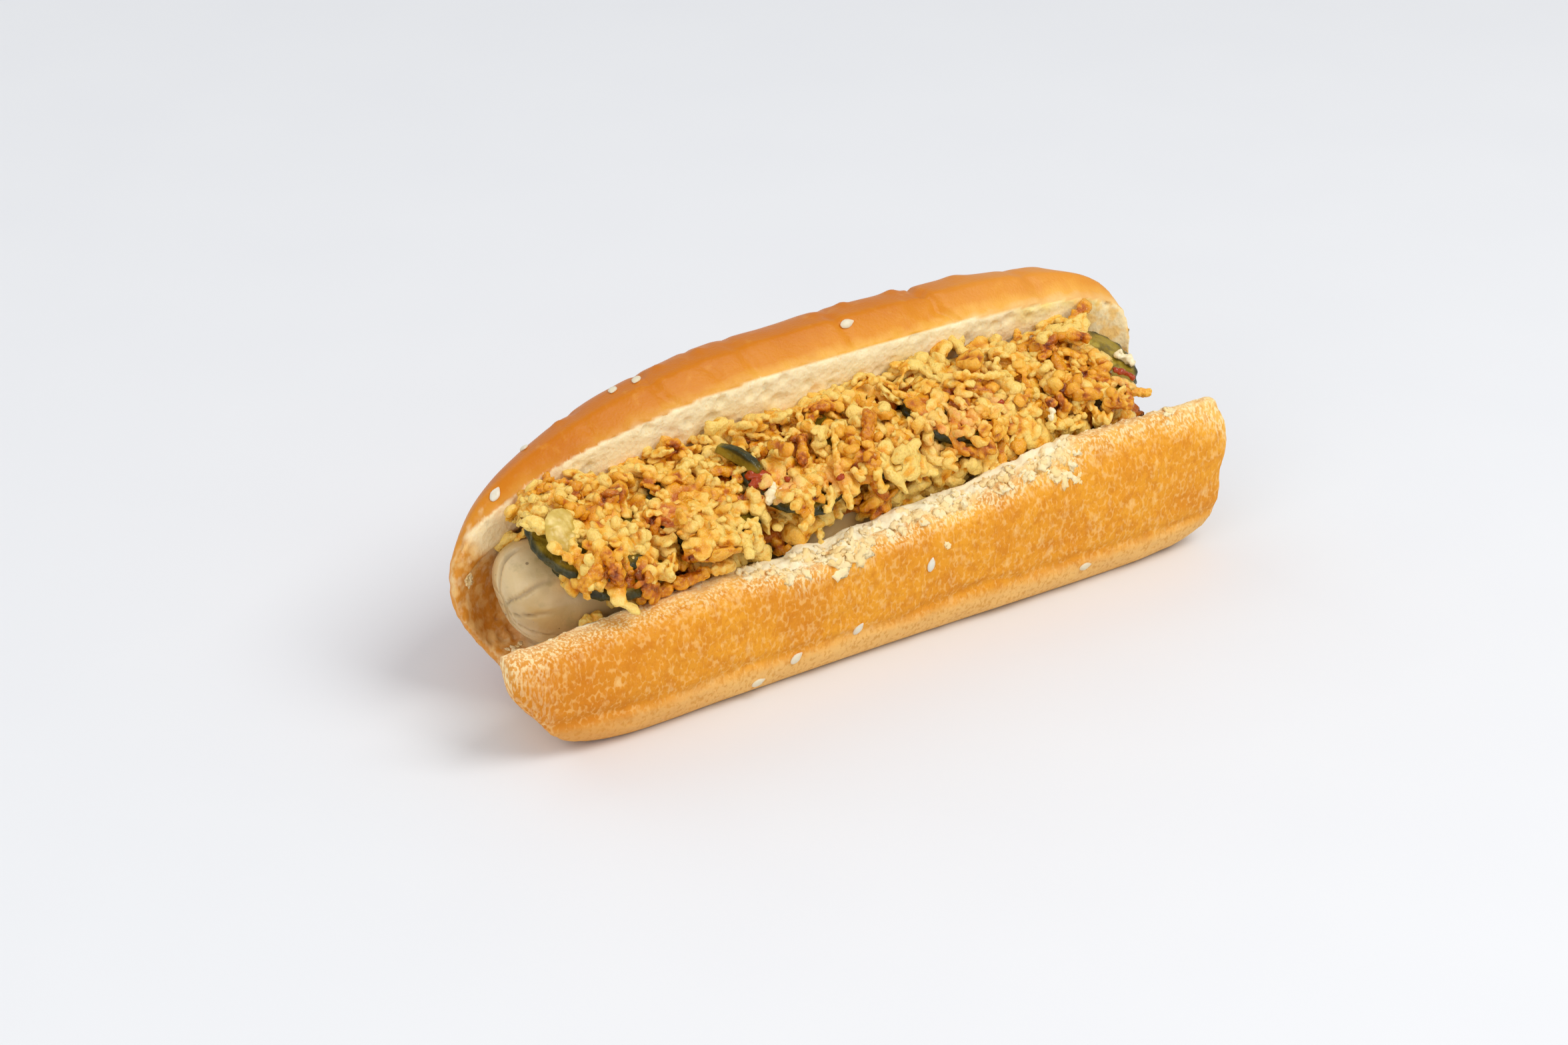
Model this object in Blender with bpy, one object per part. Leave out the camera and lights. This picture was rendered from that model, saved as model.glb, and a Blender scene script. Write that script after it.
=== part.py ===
"""Hot dog: an opened bun on its hinge, a sausage, pickle slices and a heap of fried onions.

Metres, +Z up. X runs along the bun, and Y goes from its front half to its back half.
The shapes are worked out with y = 0 at the front half's foot and z = 0 on the table,
and moved at the end so that the origin is under the middle of the whole.
"""

import math

import bmesh
import bpy
from mathutils import Euler, Matrix, Vector, noise

MM = 0.001
GAP = 0.4 * MM  # between pieces that touch
MERGE = 0.01 * MM

# Bun, middle section
FRONT_RIM = Vector((0.0, 1.0, 31.5)) * MM
FRONT_BULGE = 3.4 * MM
BASE_START, BASE_END = 0.8 * MM, 38.0 * MM
FLAT_UNDER = 0.4 * MM  # what is lower than this rests on the table
DOME_Y, DOME_DEPTH, DOME_TOP = 36.0 * MM, 20.5 * MM, 59.3 * MM
BACK_RIM = Vector((0.0, 30.3, 53.8)) * MM
CRUST_EDGE = 0.8 * MM

# Bun, along its length, as pairs of x and a height or a thickness in mm
FRONT_RIM_AT = ((-90, 24.5), (-53, 27.0), (0, 31.3), (49, 34.3), (90, 34.0))
FOOT_SWAY_AT = ((-90, 0.0), (-66, 1.9), (-40, 0.6), (0, 0.0), (60, 0.4), (90, 0.0))
RIM_THICKNESS_AT = ((-90, 2.4), (-40, 4.0), (0, 5.2), (45, 5.0), (60, 3.4), (90, 2.8))
STATIONS_PER_SIDE = 14
STATION_CROWDING = 2.4
WALL_SAMPLES, BASE_SAMPLES, DOME_SAMPLES = 9, 6, 12
END_THICKNESS = 2.4 * MM

# Sausage
SAUSAGE_RADIUS = 11.4 * MM
SAUSAGE_LEFT, SAUSAGE_RIGHT = -79.0 * MM, 77.0 * MM
SAUSAGE_Y, SAUSAGE_Z = 21.3 * MM, 23.2 * MM

SAUSAGE_SEGMENTS = 28

# Pickle slices: centre and radius in mm, then the lean to the front and the roll to the right
SLICES = (
    ((-64.5, 15.5, 39.4), 12.0, 18, 2),
    ((-58.5, 13.2, 34.6), 12.2, 18, 0),
    ((-36.0, 13.5, 36.9), 12.0, 20, 8),
    ((-14.0, 15.5, 38.3), 12.0, 20, 8),
    ((6.0, 18.0, 40.2), 11.6, 20, 8),
    ((28.0, 18.0, 41.4), 11.6, 20, 4),
    ((46.0, 18.5, 36.9), 11.4, 20, 0),
    ((63.5, 17.4, 41.4), 12.0, 20, 4),
)
SLICE_THICKNESS = 3.0 * MM
SLICE_SAG = 0.7 * MM
SLICE_SEGMENTS = 24
STRIP_START, STRIP_END = Vector((-25.6, 22.2, 46.6)) * MM, Vector((-21.2, 13.0, 43.6)) * MM
STRIP_HEIGHT, STRIP_THICKNESS = 4.6 * MM, 2.6 * MM
PALE_CENTRE, PALE_RADII = Vector((-67.0, 16.5, 42.8)) * MM, (3.6 * MM, 5.3 * MM, 0.9 * MM)

# Onion heap: y and z over the middle of the sausage in mm, from the front to the back
HEAP_TOP = ((7.4, 29.6), (8.4, 33.4), (12.0, 38.9), (17.0, 42.6), (23.0, 44.9), (27.3, 45.2), (29.2, 43.6))
HEAP_FROM, HEAP_TO = math.radians(158), math.radians(36)
HEAP_TURN_IN = math.radians(18)
HEAP_LEFT, HEAP_RIGHT = -72.0 * MM, 76.0 * MM
HEAP_STATIONS, HEAP_ACROSS = 38, 9
HEAP_LUMPS = 1.4 * MM


def clear_scene():
    for old in list(bpy.data.objects):
        bpy.data.objects.remove(old)


def collection_named(name):
    made = bpy.data.collections.new(name)
    bpy.context.scene.collection.children.link(made)
    return made


def add_object(name, mesh, collection, look=None):
    made = bpy.data.objects.new(name, mesh)
    collection.objects.link(made)
    if look:
        mesh.materials.append(look)
    return made


def plain_material(name, colour, roughness):
    made = bpy.data.materials.new(name)
    made.use_nodes = True
    shader = made.node_tree.nodes["Principled BSDF"]
    shader.inputs["Base Color"].default_value = (*colour, 1.0)
    shader.inputs["Roughness"].default_value = roughness
    shader.inputs["Metallic"].default_value = 0.0
    return made


# ---------------------------------------------------------------- curves


def spline_point(points, place):
    """A point of the Catmull-Rom curve through the points, at a place from 0 to len(points) - 1."""
    i = min(int(place), len(points) - 2)
    t = place - i
    before = points[i - 1] if i else 2 * points[0] - points[1]
    after = points[i + 2] if i + 2 < len(points) else 2 * points[-1] - points[-2]
    a, b = points[i], points[i + 1]
    return 0.5 * (
        2 * a
        + (b - before) * t
        + (2 * before - 5 * a + 4 * b - after) * t**2
        + (3 * a - before - 3 * b + after) * t**3
    )


def samples_along(points, count):
    """Points spaced evenly along a smooth curve, from its start up to but not at its end."""
    fine = [spline_point(points, (len(points) - 1) * k / 200) for k in range(201)]
    reach = [0.0]
    for a, b in zip(fine, fine[1:]):
        reach.append(reach[-1] + (b - a).length)
    made = []
    k = 0
    for n in range(count):
        wanted = reach[-1] * n / count
        while reach[k + 1] < wanted:
            k += 1
        made.append(fine[k].lerp(fine[k + 1], (wanted - reach[k]) / (reach[k + 1] - reach[k])))
    return made


def three_part_path(wall, base, dome):
    """One run of points from the front rim down the wall, along the base and up the back half."""
    return (
        samples_along(wall, WALL_SAMPLES)
        + samples_along(base, BASE_SAMPLES)
        + samples_along(dome, DOME_SAMPLES)
        + [dome[-1]]
    )


def in_mm(*points):
    return [Vector(p) * MM for p in points]


# ---------------------------------------------------------------- bun


def bun_outside():
    """The skin of the middle section, x = 0."""
    foot = Vector((0, BASE_START, 0))
    heel = Vector((0, BASE_END, 0))
    wall = [
        FRONT_RIM,
        Vector((0, -0.6 * FRONT_BULGE, 0.88 * FRONT_RIM.z)),
        Vector((0, -FRONT_BULGE, 0.68 * FRONT_RIM.z)),
        Vector((0, -FRONT_BULGE, 0.24 * FRONT_RIM.z)),
        Vector((0, -0.8 * FRONT_BULGE, 0.12 * FRONT_RIM.z)),
        Vector((0, -0.35 * FRONT_BULGE, 0.04 * FRONT_RIM.z)),
        foot,
    ]
    half = DOME_TOP / 2
    angles = [math.radians(a) for a in (-50, -25, 0, 25, 50, 70, 88)]
    dome = [heel] + [
        Vector((0, DOME_Y + DOME_DEPTH * math.cos(a) ** 0.85, half + half * math.sin(a)))
        for a in angles
    ]
    return three_part_path(wall, [foot, heel], dome + [BACK_RIM])


def bun_inside():
    """The cut faces and the trough of the middle section."""
    rim = FRONT_RIM
    axis = Vector((0, SAUSAGE_Y, SAUSAGE_Z))
    bed = SAUSAGE_RADIUS + 3 * GAP

    def on_bed(degrees):
        a = math.radians(degrees)
        return axis + bed * Vector((0, math.cos(a), math.sin(a)))

    wall = [rim, rim + Vector((0, 2.4, -4.5)) * MM, on_bed(180), on_bed(205), on_bed(225)]
    base = [on_bed(a) for a in (225, 247, 270, 293, 315)]
    back = BACK_RIM - Vector((0, CRUST_EDGE, CRUST_EDGE))
    dome = [on_bed(315), on_bed(340), on_bed(0), Vector((0, 32.2, 34)) * MM]
    return three_part_path(wall, base, dome + [Vector((0, 30.6, 45)) * MM, back])


def bun_ends():
    """The edge of the crust at the left and the right end, from the front tip to the back tip."""
    left = three_part_path(
        in_mm((-89.4, 1.5, 24.5), (-88.6, 0.3, 16), (-83.5, 0.5, 9.8), (-78, 3.5, 5.4)),
        in_mm((-78, 3.5, 5.4), (-75.5, 12, 5), (-76.5, 22, 6.5)),
        in_mm((-76.5, 22, 6.5), (-78.5, 26.5, 9.5), (-83.5, 28, 16.5), (-86, 29, 23), (-86, 29.6, 28.5)),
    )
    right = three_part_path(
        in_mm((87, 1.5, 34), (89.6, 0.8, 26), (87.6, 0.5, 19), (88.2, 0.8, 12), (84, 4, 5)),
        in_mm((84, 4, 5), (79, 13, 3.2), (78, 24, 4)),
        in_mm((78, 24, 4), (80.5, 28, 10), (84, 29.5, 22), (84.5, 29.8, 34)),
    )
    return left, right


def value_at(pairs, x):
    """A smooth curve through pairs of x and a value, all in mm."""
    marks = [Vector((a, b)) * MM for a, b in pairs]
    x = min(max(x, marks[0].x), marks[-1].x)
    k = next(k for k in range(len(marks) - 1) if x <= marks[k + 1].x)
    share = (x - marks[k].x) / (marks[k + 1].x - marks[k].x)
    return spline_point(marks, k + share).y


def end_powers(i, left, skin):
    """How square the bun's end is, as superellipse powers in plan and in height."""
    base = min(1.0, max(0.0, (i - WALL_SAMPLES + 1) / BASE_SAMPLES))
    dome = max(0.0, (i - WALL_SAMPLES - BASE_SAMPLES) / DOME_SAMPLES)
    front = (4.5, 7.0) if left else (5.5, 6.0)
    back = (1.9, 2.15) if left else (2.8, 4.6)
    if not skin:
        blend = min(1.0, dome / 0.75) ** 2.5
        return tuple(5.5 + (b - 5.5) * blend for b in back)
    return tuple(f + (b - f) * base for f, b in zip(front, back))


def bun_station(side, reach):
    """The closed ring of points at a share of the way from the middle to one end."""
    outside, inside = bun_outside(), bun_inside()
    left_end, right_end = bun_ends()
    end = left_end if side < 0 else right_end
    count = len(outside)
    ring = []
    for skin, points in ((True, outside), (False, inside)):
        run = []
        for i, middle in enumerate(points):
            turn = math.pi * i / (count - 1)
            tip = end[i].copy()
            if not skin:
                tip += END_THICKNESS * Vector((0, math.cos(turn), math.sin(turn)))
            plan, height = end_powers(i, side < 0, skin)
            x = tip.x * reach
            front = max(0.0, 1 - i / WALL_SAMPLES)
            low = min(1.0, 2 * i / WALL_SAMPLES, max(0.0, (WALL_SAMPLES + 3 - i) / 3))
            y = middle.y - low * value_at(FOOT_SWAY_AT, x) if skin else middle.y
            y += 0 if skin else front**2.5 * value_at(RIM_THICKNESS_AT, x)
            z = middle.z * (1 + front**2.5 * (value_at(FRONT_RIM_AT, x) / FRONT_RIM.z - 1))
            y = tip.y + (y - tip.y) * (1 - reach**plan) ** (1 / plan)
            z = tip.z + (z - tip.z) * (1 - reach**height) ** (1 / height)
            run.append(Vector((x, y, z if z > FLAT_UNDER else 0.0)))
        ring += run if skin else run[::-1]
    return ring


def bun_mesh():
    """A loft of C-shaped rings, closed at both ends by the strip between skin and cut face."""
    reaches = [
        1 - (1 - k / STATIONS_PER_SIDE) ** STATION_CROWDING for k in range(STATIONS_PER_SIDE + 1)
    ]
    rings = [bun_station(-1, r) for r in reversed(reaches)]
    rings += [bun_station(1, r) for r in reaches[1:]]
    made = bmesh.new()
    rows = [[made.verts.new(p) for p in ring] for ring in rings]
    size = len(rings[0])
    for a, b in zip(rows, rows[1:]):
        for i in range(size):
            j = (i + 1) % size
            made.faces.new((a[i], a[j], b[j], b[i]))
    for row in (rows[0], rows[-1]):
        for i in range(size // 2 - 1):
            made.faces.new((row[i], row[i + 1], row[size - 2 - i], row[size - 1 - i]))
    return finished_mesh("bun", made)


def build_bun(parts):
    crust = plain_material("bun_crust", (0.80, 0.45, 0.15), 0.45)
    smooth_with_edges(add_object("bun", bun_mesh(), parts, crust), 50)


# ---------------------------------------------------------------- shared solids


def finished_mesh(name, made):
    bmesh.ops.recalc_face_normals(made, faces=made.faces)
    mesh = bpy.data.meshes.new(name)
    made.to_mesh(mesh)
    made.free()
    return mesh


def turned_mesh(name, profile, segments):
    """A solid of revolution about X, from pairs of x and radius that start and end on the axis."""
    made = bmesh.new()
    first = made.verts.new((profile[0][0], 0, 0))
    last = made.verts.new((profile[-1][0], 0, 0))
    rings = []
    for x, radius in profile[1:-1]:
        ring = []
        for k in range(segments):
            a = 2 * math.pi * k / segments
            ring.append(made.verts.new((x, radius * math.cos(a), radius * math.sin(a))))
        rings.append(ring)
    for k in range(segments):
        j = (k + 1) % segments
        made.faces.new((first, rings[0][k], rings[0][j]))
        for a, b in zip(rings, rings[1:]):
            made.faces.new((a[k], a[j], b[j], b[k]))
        made.faces.new((last, rings[-1][j], rings[-1][k]))
    return finished_mesh(name, made)


def smooth_with_edges(part, degrees):
    part.data.shade_smooth()
    part.data.set_sharp_from_angle(angle=math.radians(degrees))


# ---------------------------------------------------------------- sausage


def sausage_profile():
    """Pairs of x and radius: rounded ends, a little drawn in at the tips, and a barely uneven body."""
    made = [(SAUSAGE_LEFT + 1.6 * MM, 0.0)]
    length = SAUSAGE_RIGHT - SAUSAGE_LEFT
    ends = ((0.4, 1.6), (0.0, 3.4), (0.8, 5.8), (2.4, 7.9), (4.8, 9.7), (8.0, 10.9))
    for x, radius in ends:
        made.append((SAUSAGE_LEFT + x * MM, radius * MM))
    for k in range(1, 12):
        x = SAUSAGE_LEFT + 12 * MM + (length - 24 * MM) * (k - 1) / 10
        made.append((x, SAUSAGE_RADIUS - 0.25 * MM * (1 - math.cos(1.9 * k)) / 2))
    for x, radius in reversed(ends):
        made.append((SAUSAGE_RIGHT - x * MM, radius * MM))
    made.append((SAUSAGE_RIGHT - 1.6 * MM, 0.0))
    return made


def build_sausage(parts):
    look = plain_material("sausage_meat", (0.60, 0.47, 0.33), 0.4)
    mesh = turned_mesh("sausage", sausage_profile(), SAUSAGE_SEGMENTS)
    mesh.transform(Matrix.Translation((0, SAUSAGE_Y, SAUSAGE_Z)))
    sausage = add_object("sausage", mesh, parts, look)
    smooth_with_edges(sausage, 60)
    return sausage


# ---------------------------------------------------------------- pickles


def slice_mesh(name, radius, thickness, seed):
    """A round slice with an uneven rim, sagging a little over what it lies on."""
    made = bmesh.new()
    half = thickness / 2
    rings = []
    for share, z in ((0.95, half), (1.0, half / 2), (1.0, -half / 2), (0.95, -half)):
        ring = []
        for k in range(SLICE_SEGMENTS):
            a = 2 * math.pi * k / SLICE_SEGMENTS
            around = Vector((math.cos(a), math.sin(a), 0))
            r = share * radius * (1 + 0.05 * noise.noise(1.3 * around + Vector((0, 0, 3.7 * seed))))
            y = r * around.y
            ring.append(made.verts.new((r * around.x, y, z - SLICE_SAG * (y / radius) ** 2)))
        rings.append(ring)
    middles = made.verts.new((0, 0, half)), made.verts.new((0, 0, -half))
    for k in range(SLICE_SEGMENTS):
        j = (k + 1) % SLICE_SEGMENTS
        made.faces.new((middles[0], rings[0][k], rings[0][j]))
        for a, b in zip(rings, rings[1:]):
            made.faces.new((a[k], a[j], b[j], b[k]))
        made.faces.new((middles[1], rings[-1][j], rings[-1][k]))
    return finished_mesh(name, made)


def slice_place(centre, lean, roll):
    turned = Euler((math.radians(lean), math.radians(roll), 0)).to_matrix().to_4x4()
    return Matrix.Translation(Vector(centre) * MM) @ turned


def strip_mesh(name, grow):
    """A cut end of a slice, standing on its edge: flat below and bowed above."""
    along = STRIP_END - STRIP_START
    side = along.cross(Vector((0, 0, 1))).normalized()
    up = side.cross(along).normalized()
    made = bmesh.new()
    rows = []
    for k in range(9):
        t = k / 8
        height = STRIP_HEIGHT * (0.55 + 0.45 * math.sin(math.pi * t)) + 2 * grow
        middle = STRIP_START + along * (t + (t - 0.5) * 2 * grow / along.length)
        low = middle - up * (STRIP_HEIGHT / 2 + grow)
        wide = side * (STRIP_THICKNESS / 2 + grow)
        row = [low - wide, low + wide, low + up * height + wide, low + up * height - wide]
        rows.append([made.verts.new(p) for p in row])
    for a, b in zip(rows, rows[1:]):
        for i in range(4):
            j = (i + 1) % 4
            made.faces.new((a[i], a[j], b[j], b[i]))
    made.faces.new(rows[0])
    made.faces.new(rows[-1])
    return finished_mesh(name, made)


def pale_mesh(name, grow):
    """A small pale rounded flake."""
    made = bmesh.new()
    bmesh.ops.create_uvsphere(made, u_segments=16, v_segments=6, radius=1)
    across, deep, half = (r + grow for r in PALE_RADII)
    for v in made.verts:
        full = max(abs(v.co.z), 1e-6) ** 0.6 * (1 if v.co.z > 0 else -1)
        v.co = Vector((v.co.x * across, v.co.y * deep, full * half))
    place = slice_place(PALE_CENTRE / MM, 18, -4)
    bmesh.ops.transform(made, matrix=place, verts=made.verts)
    return finished_mesh(name, made)


def build_pickles(parts, cutters):
    """The slices and strips, with a slightly larger copy of each to clear its place in the heap."""
    skin = plain_material("pickle_flesh", (0.27, 0.30, 0.07), 0.3)
    for k, (centre, radius, lean, roll) in enumerate(SLICES):
        place = slice_place(centre, lean, roll)
        for name, grow, home in (
            (f"pickle_slice_{k + 1}", 0.0, parts),
            (f"slice_{k + 1}_cutter", GAP, cutters),
        ):
            mesh = slice_mesh(name, radius * MM + grow, SLICE_THICKNESS + 2 * grow, k)
            mesh.transform(place)
            smooth_with_edges(add_object(name, mesh, home, skin), 40)
    smooth_with_edges(add_object("pickle_strip", strip_mesh("pickle_strip", 0), parts, skin), 40)
    add_object("strip_cutter", strip_mesh("strip_cutter", GAP), cutters)
    pale = plain_material("pale_flake", (0.80, 0.68, 0.32), 0.3)
    smooth_with_edges(add_object("pale_flake", pale_mesh("pale_flake", 0), parts, pale), 60)
    add_object("pale_cutter", pale_mesh("pale_cutter", GAP), cutters)


# ---------------------------------------------------------------- onions


def heap_station(x_share):
    """Points over the sausage, then the lumpy top above them, for one place along the heap."""
    low, high = [], []
    axis = Vector((0, SAUSAGE_Y, SAUSAGE_Z))
    marks = [Vector((0, y, z)) * MM for y, z in HEAP_TOP]
    reach = 2 * x_share - 1
    rise = min(1.0, ((1 - abs(reach)) / 0.11) ** 0.6)
    near_end = max(0.0, abs(reach) - 0.6) / 0.4
    for k in range(HEAP_ACROSS + 1):
        share = k / HEAP_ACROSS
        a = HEAP_FROM + (HEAP_TO + HEAP_TURN_IN * near_end - HEAP_FROM) * share
        left = HEAP_LEFT + 8 * MM * (1 - share)
        right = HEAP_RIGHT - 9 * MM * share
        x = (left + right) / 2 + (right - left) / 2 * math.copysign(abs(reach) ** 0.9, reach)
        out = Vector((0, math.cos(a), math.sin(a)))
        foot = axis + (SAUSAGE_RADIUS + 1.1 * GAP) * out + Vector((x, 0, 0))
        full = spline_point(marks, share * (len(marks) - 1))
        full.z += (1 - 0.6 * share) * (value_at(FRONT_RIM_AT, x) - FRONT_RIM.z)
        full.y -= 5 * MM * share * near_end**2
        full.x = x
        top = foot.lerp(full, 0.2 + 0.8 * rise)
        bumps = noise.noise(top / (5.5 * MM)) + 0.6 * noise.noise(top / (2.8 * MM) + Vector((7, 1, 3)))
        inner = min(1.0, 4 * share, 4 * (1 - share))
        lean = (full - foot).normalized()
        low.append(foot)
        high.append(top + lean * HEAP_LUMPS * bumps * max(0.1, inner) * (0.3 + 0.7 * rise))
    return low + high[::-1]


def heap_mesh():
    made = bmesh.new()
    rows = []
    for n in range(HEAP_STATIONS + 1):
        share = n / HEAP_STATIONS
        rows.append([made.verts.new(p) for p in heap_station(share)])
    size = len(rows[0])
    for a, b in zip(rows, rows[1:]):
        for i in range(size):
            j = (i + 1) % size
            made.faces.new((a[i], a[j], b[j], b[i]))
    for row in (rows[0], rows[-1]):
        for i in range(size // 2 - 1):
            made.faces.new((row[i], row[i + 1], row[size - 2 - i], row[size - 1 - i]))
    bmesh.ops.triangulate(made, faces=made.faces)
    return finished_mesh("onion_heap", made)


def keep_largest_piece(part):
    """Drops the crumbs that the cuts leave loose."""
    made = bmesh.new()
    made.from_mesh(part.data)
    left = set(made.verts)
    pieces = []
    while left:
        piece, edge = set(), [left.pop()]
        while edge:
            v = edge.pop()
            piece.add(v)
            for e in v.link_edges:
                other = e.other_vert(v)
                if other in left:
                    left.discard(other)
                    edge.append(other)
        pieces.append(piece)
    pieces.sort(key=len)
    loose = [v for piece in pieces[:-1] for v in piece]
    bmesh.ops.delete(made, geom=loose, context="VERTS")
    bmesh.ops.remove_doubles(made, verts=made.verts, dist=MERGE)
    bmesh.ops.dissolve_degenerate(made, edges=made.edges, dist=MERGE / 2)
    bmesh.ops.triangulate(made, faces=made.faces)
    made.to_mesh(part.data)
    made.free()


def build_heap(parts, cutters):
    look = plain_material("fried_onion", (0.82, 0.58, 0.22), 0.5)
    heap = add_object("onion_heap", heap_mesh(), parts, look)
    for cutter in cutters.objects:
        cut = heap.modifiers.new(cutter.name, "BOOLEAN")
        cut.operation = "DIFFERENCE"
        cut.solver = "EXACT"
        cut.object = cutter
    bpy.context.view_layer.update()
    shape = bpy.data.meshes.new_from_object(heap.evaluated_get(bpy.context.evaluated_depsgraph_get()))
    heap.modifiers.clear()
    heap.data = shape
    keep_largest_piece(heap)
    return heap


def move_origin(parts):
    """Puts the origin under the middle of the whole."""
    corners = [v.co for part in parts.objects for v in part.data.vertices]
    low = Vector(min(c[i] for c in corners) for i in range(3))
    high = Vector(max(c[i] for c in corners) for i in range(3))
    shift = Vector((-(low.x + high.x) / 2, -(low.y + high.y) / 2, -low.z))
    print("origin moved by", [round(c / MM, 3) for c in shift], "mm")
    for part in parts.objects:
        part.data.transform(Matrix.Translation(shift))


def main():
    clear_scene()
    parts = collection_named("hot_dog")
    cutters = collection_named("cutters")
    build_bun(parts)
    build_sausage(parts)
    build_pickles(parts, cutters)
    build_heap(parts, cutters)
    for cutter in cutters.objects:
        cutter.hide_render = True
        cutter.display_type = "WIRE"
    move_origin(parts)


main()
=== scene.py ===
import math
import random
from itertools import product

import bpy
import numpy as np
from mathutils import Euler, Matrix, Vector, kdtree, noise
from mathutils.bvhtree import BVHTree


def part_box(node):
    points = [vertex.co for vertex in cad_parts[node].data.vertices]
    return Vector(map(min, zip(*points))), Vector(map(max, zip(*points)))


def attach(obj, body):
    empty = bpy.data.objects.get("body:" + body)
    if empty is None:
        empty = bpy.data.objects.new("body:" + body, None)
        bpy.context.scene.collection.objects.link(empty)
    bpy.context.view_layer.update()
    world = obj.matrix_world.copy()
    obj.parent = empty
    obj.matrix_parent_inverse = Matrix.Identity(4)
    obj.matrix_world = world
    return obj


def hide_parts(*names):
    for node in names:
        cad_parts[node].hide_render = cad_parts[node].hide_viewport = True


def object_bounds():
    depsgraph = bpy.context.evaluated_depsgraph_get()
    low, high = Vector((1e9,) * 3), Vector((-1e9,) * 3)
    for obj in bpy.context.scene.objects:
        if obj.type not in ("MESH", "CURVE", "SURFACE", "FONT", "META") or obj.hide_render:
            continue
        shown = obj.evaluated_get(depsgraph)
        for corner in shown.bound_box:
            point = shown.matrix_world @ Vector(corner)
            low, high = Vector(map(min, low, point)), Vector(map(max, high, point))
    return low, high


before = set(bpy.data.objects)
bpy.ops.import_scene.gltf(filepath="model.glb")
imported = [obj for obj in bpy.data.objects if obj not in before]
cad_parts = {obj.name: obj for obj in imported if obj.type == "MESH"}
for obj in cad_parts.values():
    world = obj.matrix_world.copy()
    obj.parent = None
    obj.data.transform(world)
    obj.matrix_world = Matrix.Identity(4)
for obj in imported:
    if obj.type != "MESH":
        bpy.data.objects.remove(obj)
cadLow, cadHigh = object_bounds()

mm = 0.001
up = Vector((0, 0, 1))
sausageLow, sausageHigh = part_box("sausage")
sausageMiddle = (sausageLow + sausageHigh) / 2
print("frame loaded:", len(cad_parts), "nodes")


# work on pieces


def selectOnly(piece):
    bpy.ops.object.select_all(action="DESELECT")
    piece.select_set(True)
    bpy.context.view_layer.objects.active = piece


def newObject(name, data):
    made = bpy.data.objects.new(name, data)
    bpy.context.scene.collection.objects.link(made)
    return made


def applyModifier(piece, kind, **settings):
    selectOnly(piece)
    modifier = piece.modifiers.new(kind, kind)
    for setting, value in settings.items():
        setattr(modifier, setting, value)
    bpy.ops.object.modifier_apply(modifier=modifier.name)


def subdivide(piece, levels):
    applyModifier(piece, "SUBSURF", levels=levels, render_levels=levels)


def remesh(piece, voxel, passes):
    # an even mesh of small squares, smoothed this many times
    applyModifier(piece, "REMESH", mode="VOXEL", voxel_size=voxel)
    applyModifier(piece, "SMOOTH", factor=0.5, iterations=passes)


def copyOfNode(node, name):
    # a CAD node's triangles are loose, so they are merged, and paired into squares
    piece = newObject(name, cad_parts[node].data.copy())
    piece.data.name = name
    piece.data.materials.clear()
    selectOnly(piece)
    bpy.ops.object.mode_set(mode="EDIT")
    bpy.ops.mesh.select_all(action="SELECT")
    bpy.ops.mesh.remove_doubles(threshold=0.01 * mm)
    flat, square = math.radians(30), math.radians(60)
    bpy.ops.mesh.tris_convert_to_quads(face_threshold=flat, shape_threshold=square)
    bpy.ops.object.mode_set(mode="OBJECT")
    bpy.ops.object.shade_smooth()
    return piece


def creaseSharpEdges(piece, degrees, crease):
    selectOnly(piece)
    bpy.ops.object.mode_set(mode="EDIT")
    bpy.ops.mesh.select_all(action="DESELECT")
    bpy.ops.mesh.select_mode(type="EDGE")
    bpy.ops.mesh.edges_select_sharp(sharpness=math.radians(degrees))
    bpy.ops.transform.edge_crease(value=crease)
    bpy.ops.mesh.select_mode(type="VERT")
    bpy.ops.object.mode_set(mode="OBJECT")


def newLumps(name, resolution, threshold):
    # balls that run together, in mm
    lumps = bpy.data.metaballs.new(name)
    lumps.resolution = resolution
    lumps.threshold = threshold
    return lumps


def meshOfLumps(lumps, name):
    # the lumps' object has a name of its own, because its mesh is a new object
    selectOnly(newObject("lumps of " + name, lumps))
    bpy.ops.object.convert(target="MESH")
    piece = bpy.context.active_object
    piece.name = name
    return piece


def vectorsOf(rows, key):
    flat = np.empty(len(rows) * 3)
    rows.foreach_get(key, flat)
    return flat.reshape(-1, 3)


def pointsOf(piece):
    return vectorsOf(piece.data.vertices, "co")


def normalsOf(piece):
    return vectorsOf(piece.data.vertex_normals, "vector")


def edgesOf(piece):
    # the point at one end of every edge, and the point at its other end
    ends = np.empty(len(piece.data.edges) * 2, int)
    piece.data.edges.foreach_get("vertices", ends)
    return ends.reshape(-1, 2).T


def movePoints(piece, points):
    piece.data.vertices.foreach_set("co", points.ravel())
    piece.data.update()


def setAttribute(piece, name, values):
    layer = piece.data.attributes.new(name, "FLOAT", "POINT")
    layer.data.foreach_set("value", np.asarray(values, np.float32))


def attributeOf(piece, name):
    values = np.empty(len(piece.data.vertices), np.float32)
    piece.data.attributes[name].data.foreach_get("value", values)
    return values


def smoothStep(values, low, high):
    share = np.clip((values - low) / np.where(high == low, 1e-9, high - low), 0, 1)
    return share * share * (3 - 2 * share)


def noiseAt(points, size, shift=0.0):
    # smooth noise from -1 to 1, with lumps of about this size
    places = points / size + shift
    return np.array([noise.noise(place) for place in places.tolist()])


def cellsAt(points, size, shift=0.0):
    # how far the nearest cell's middle is, and a steady random value for that cell
    places = (points / size + shift).tolist()
    distance = np.empty(len(places))
    chance = np.empty(len(places))
    for k, place in enumerate(places):
        distances, middles = noise.voronoi(place)
        distance[k] = distances[0]
        chance[k] = noise.cell(middles[0] * 7.3)
    return distance, chance


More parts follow.
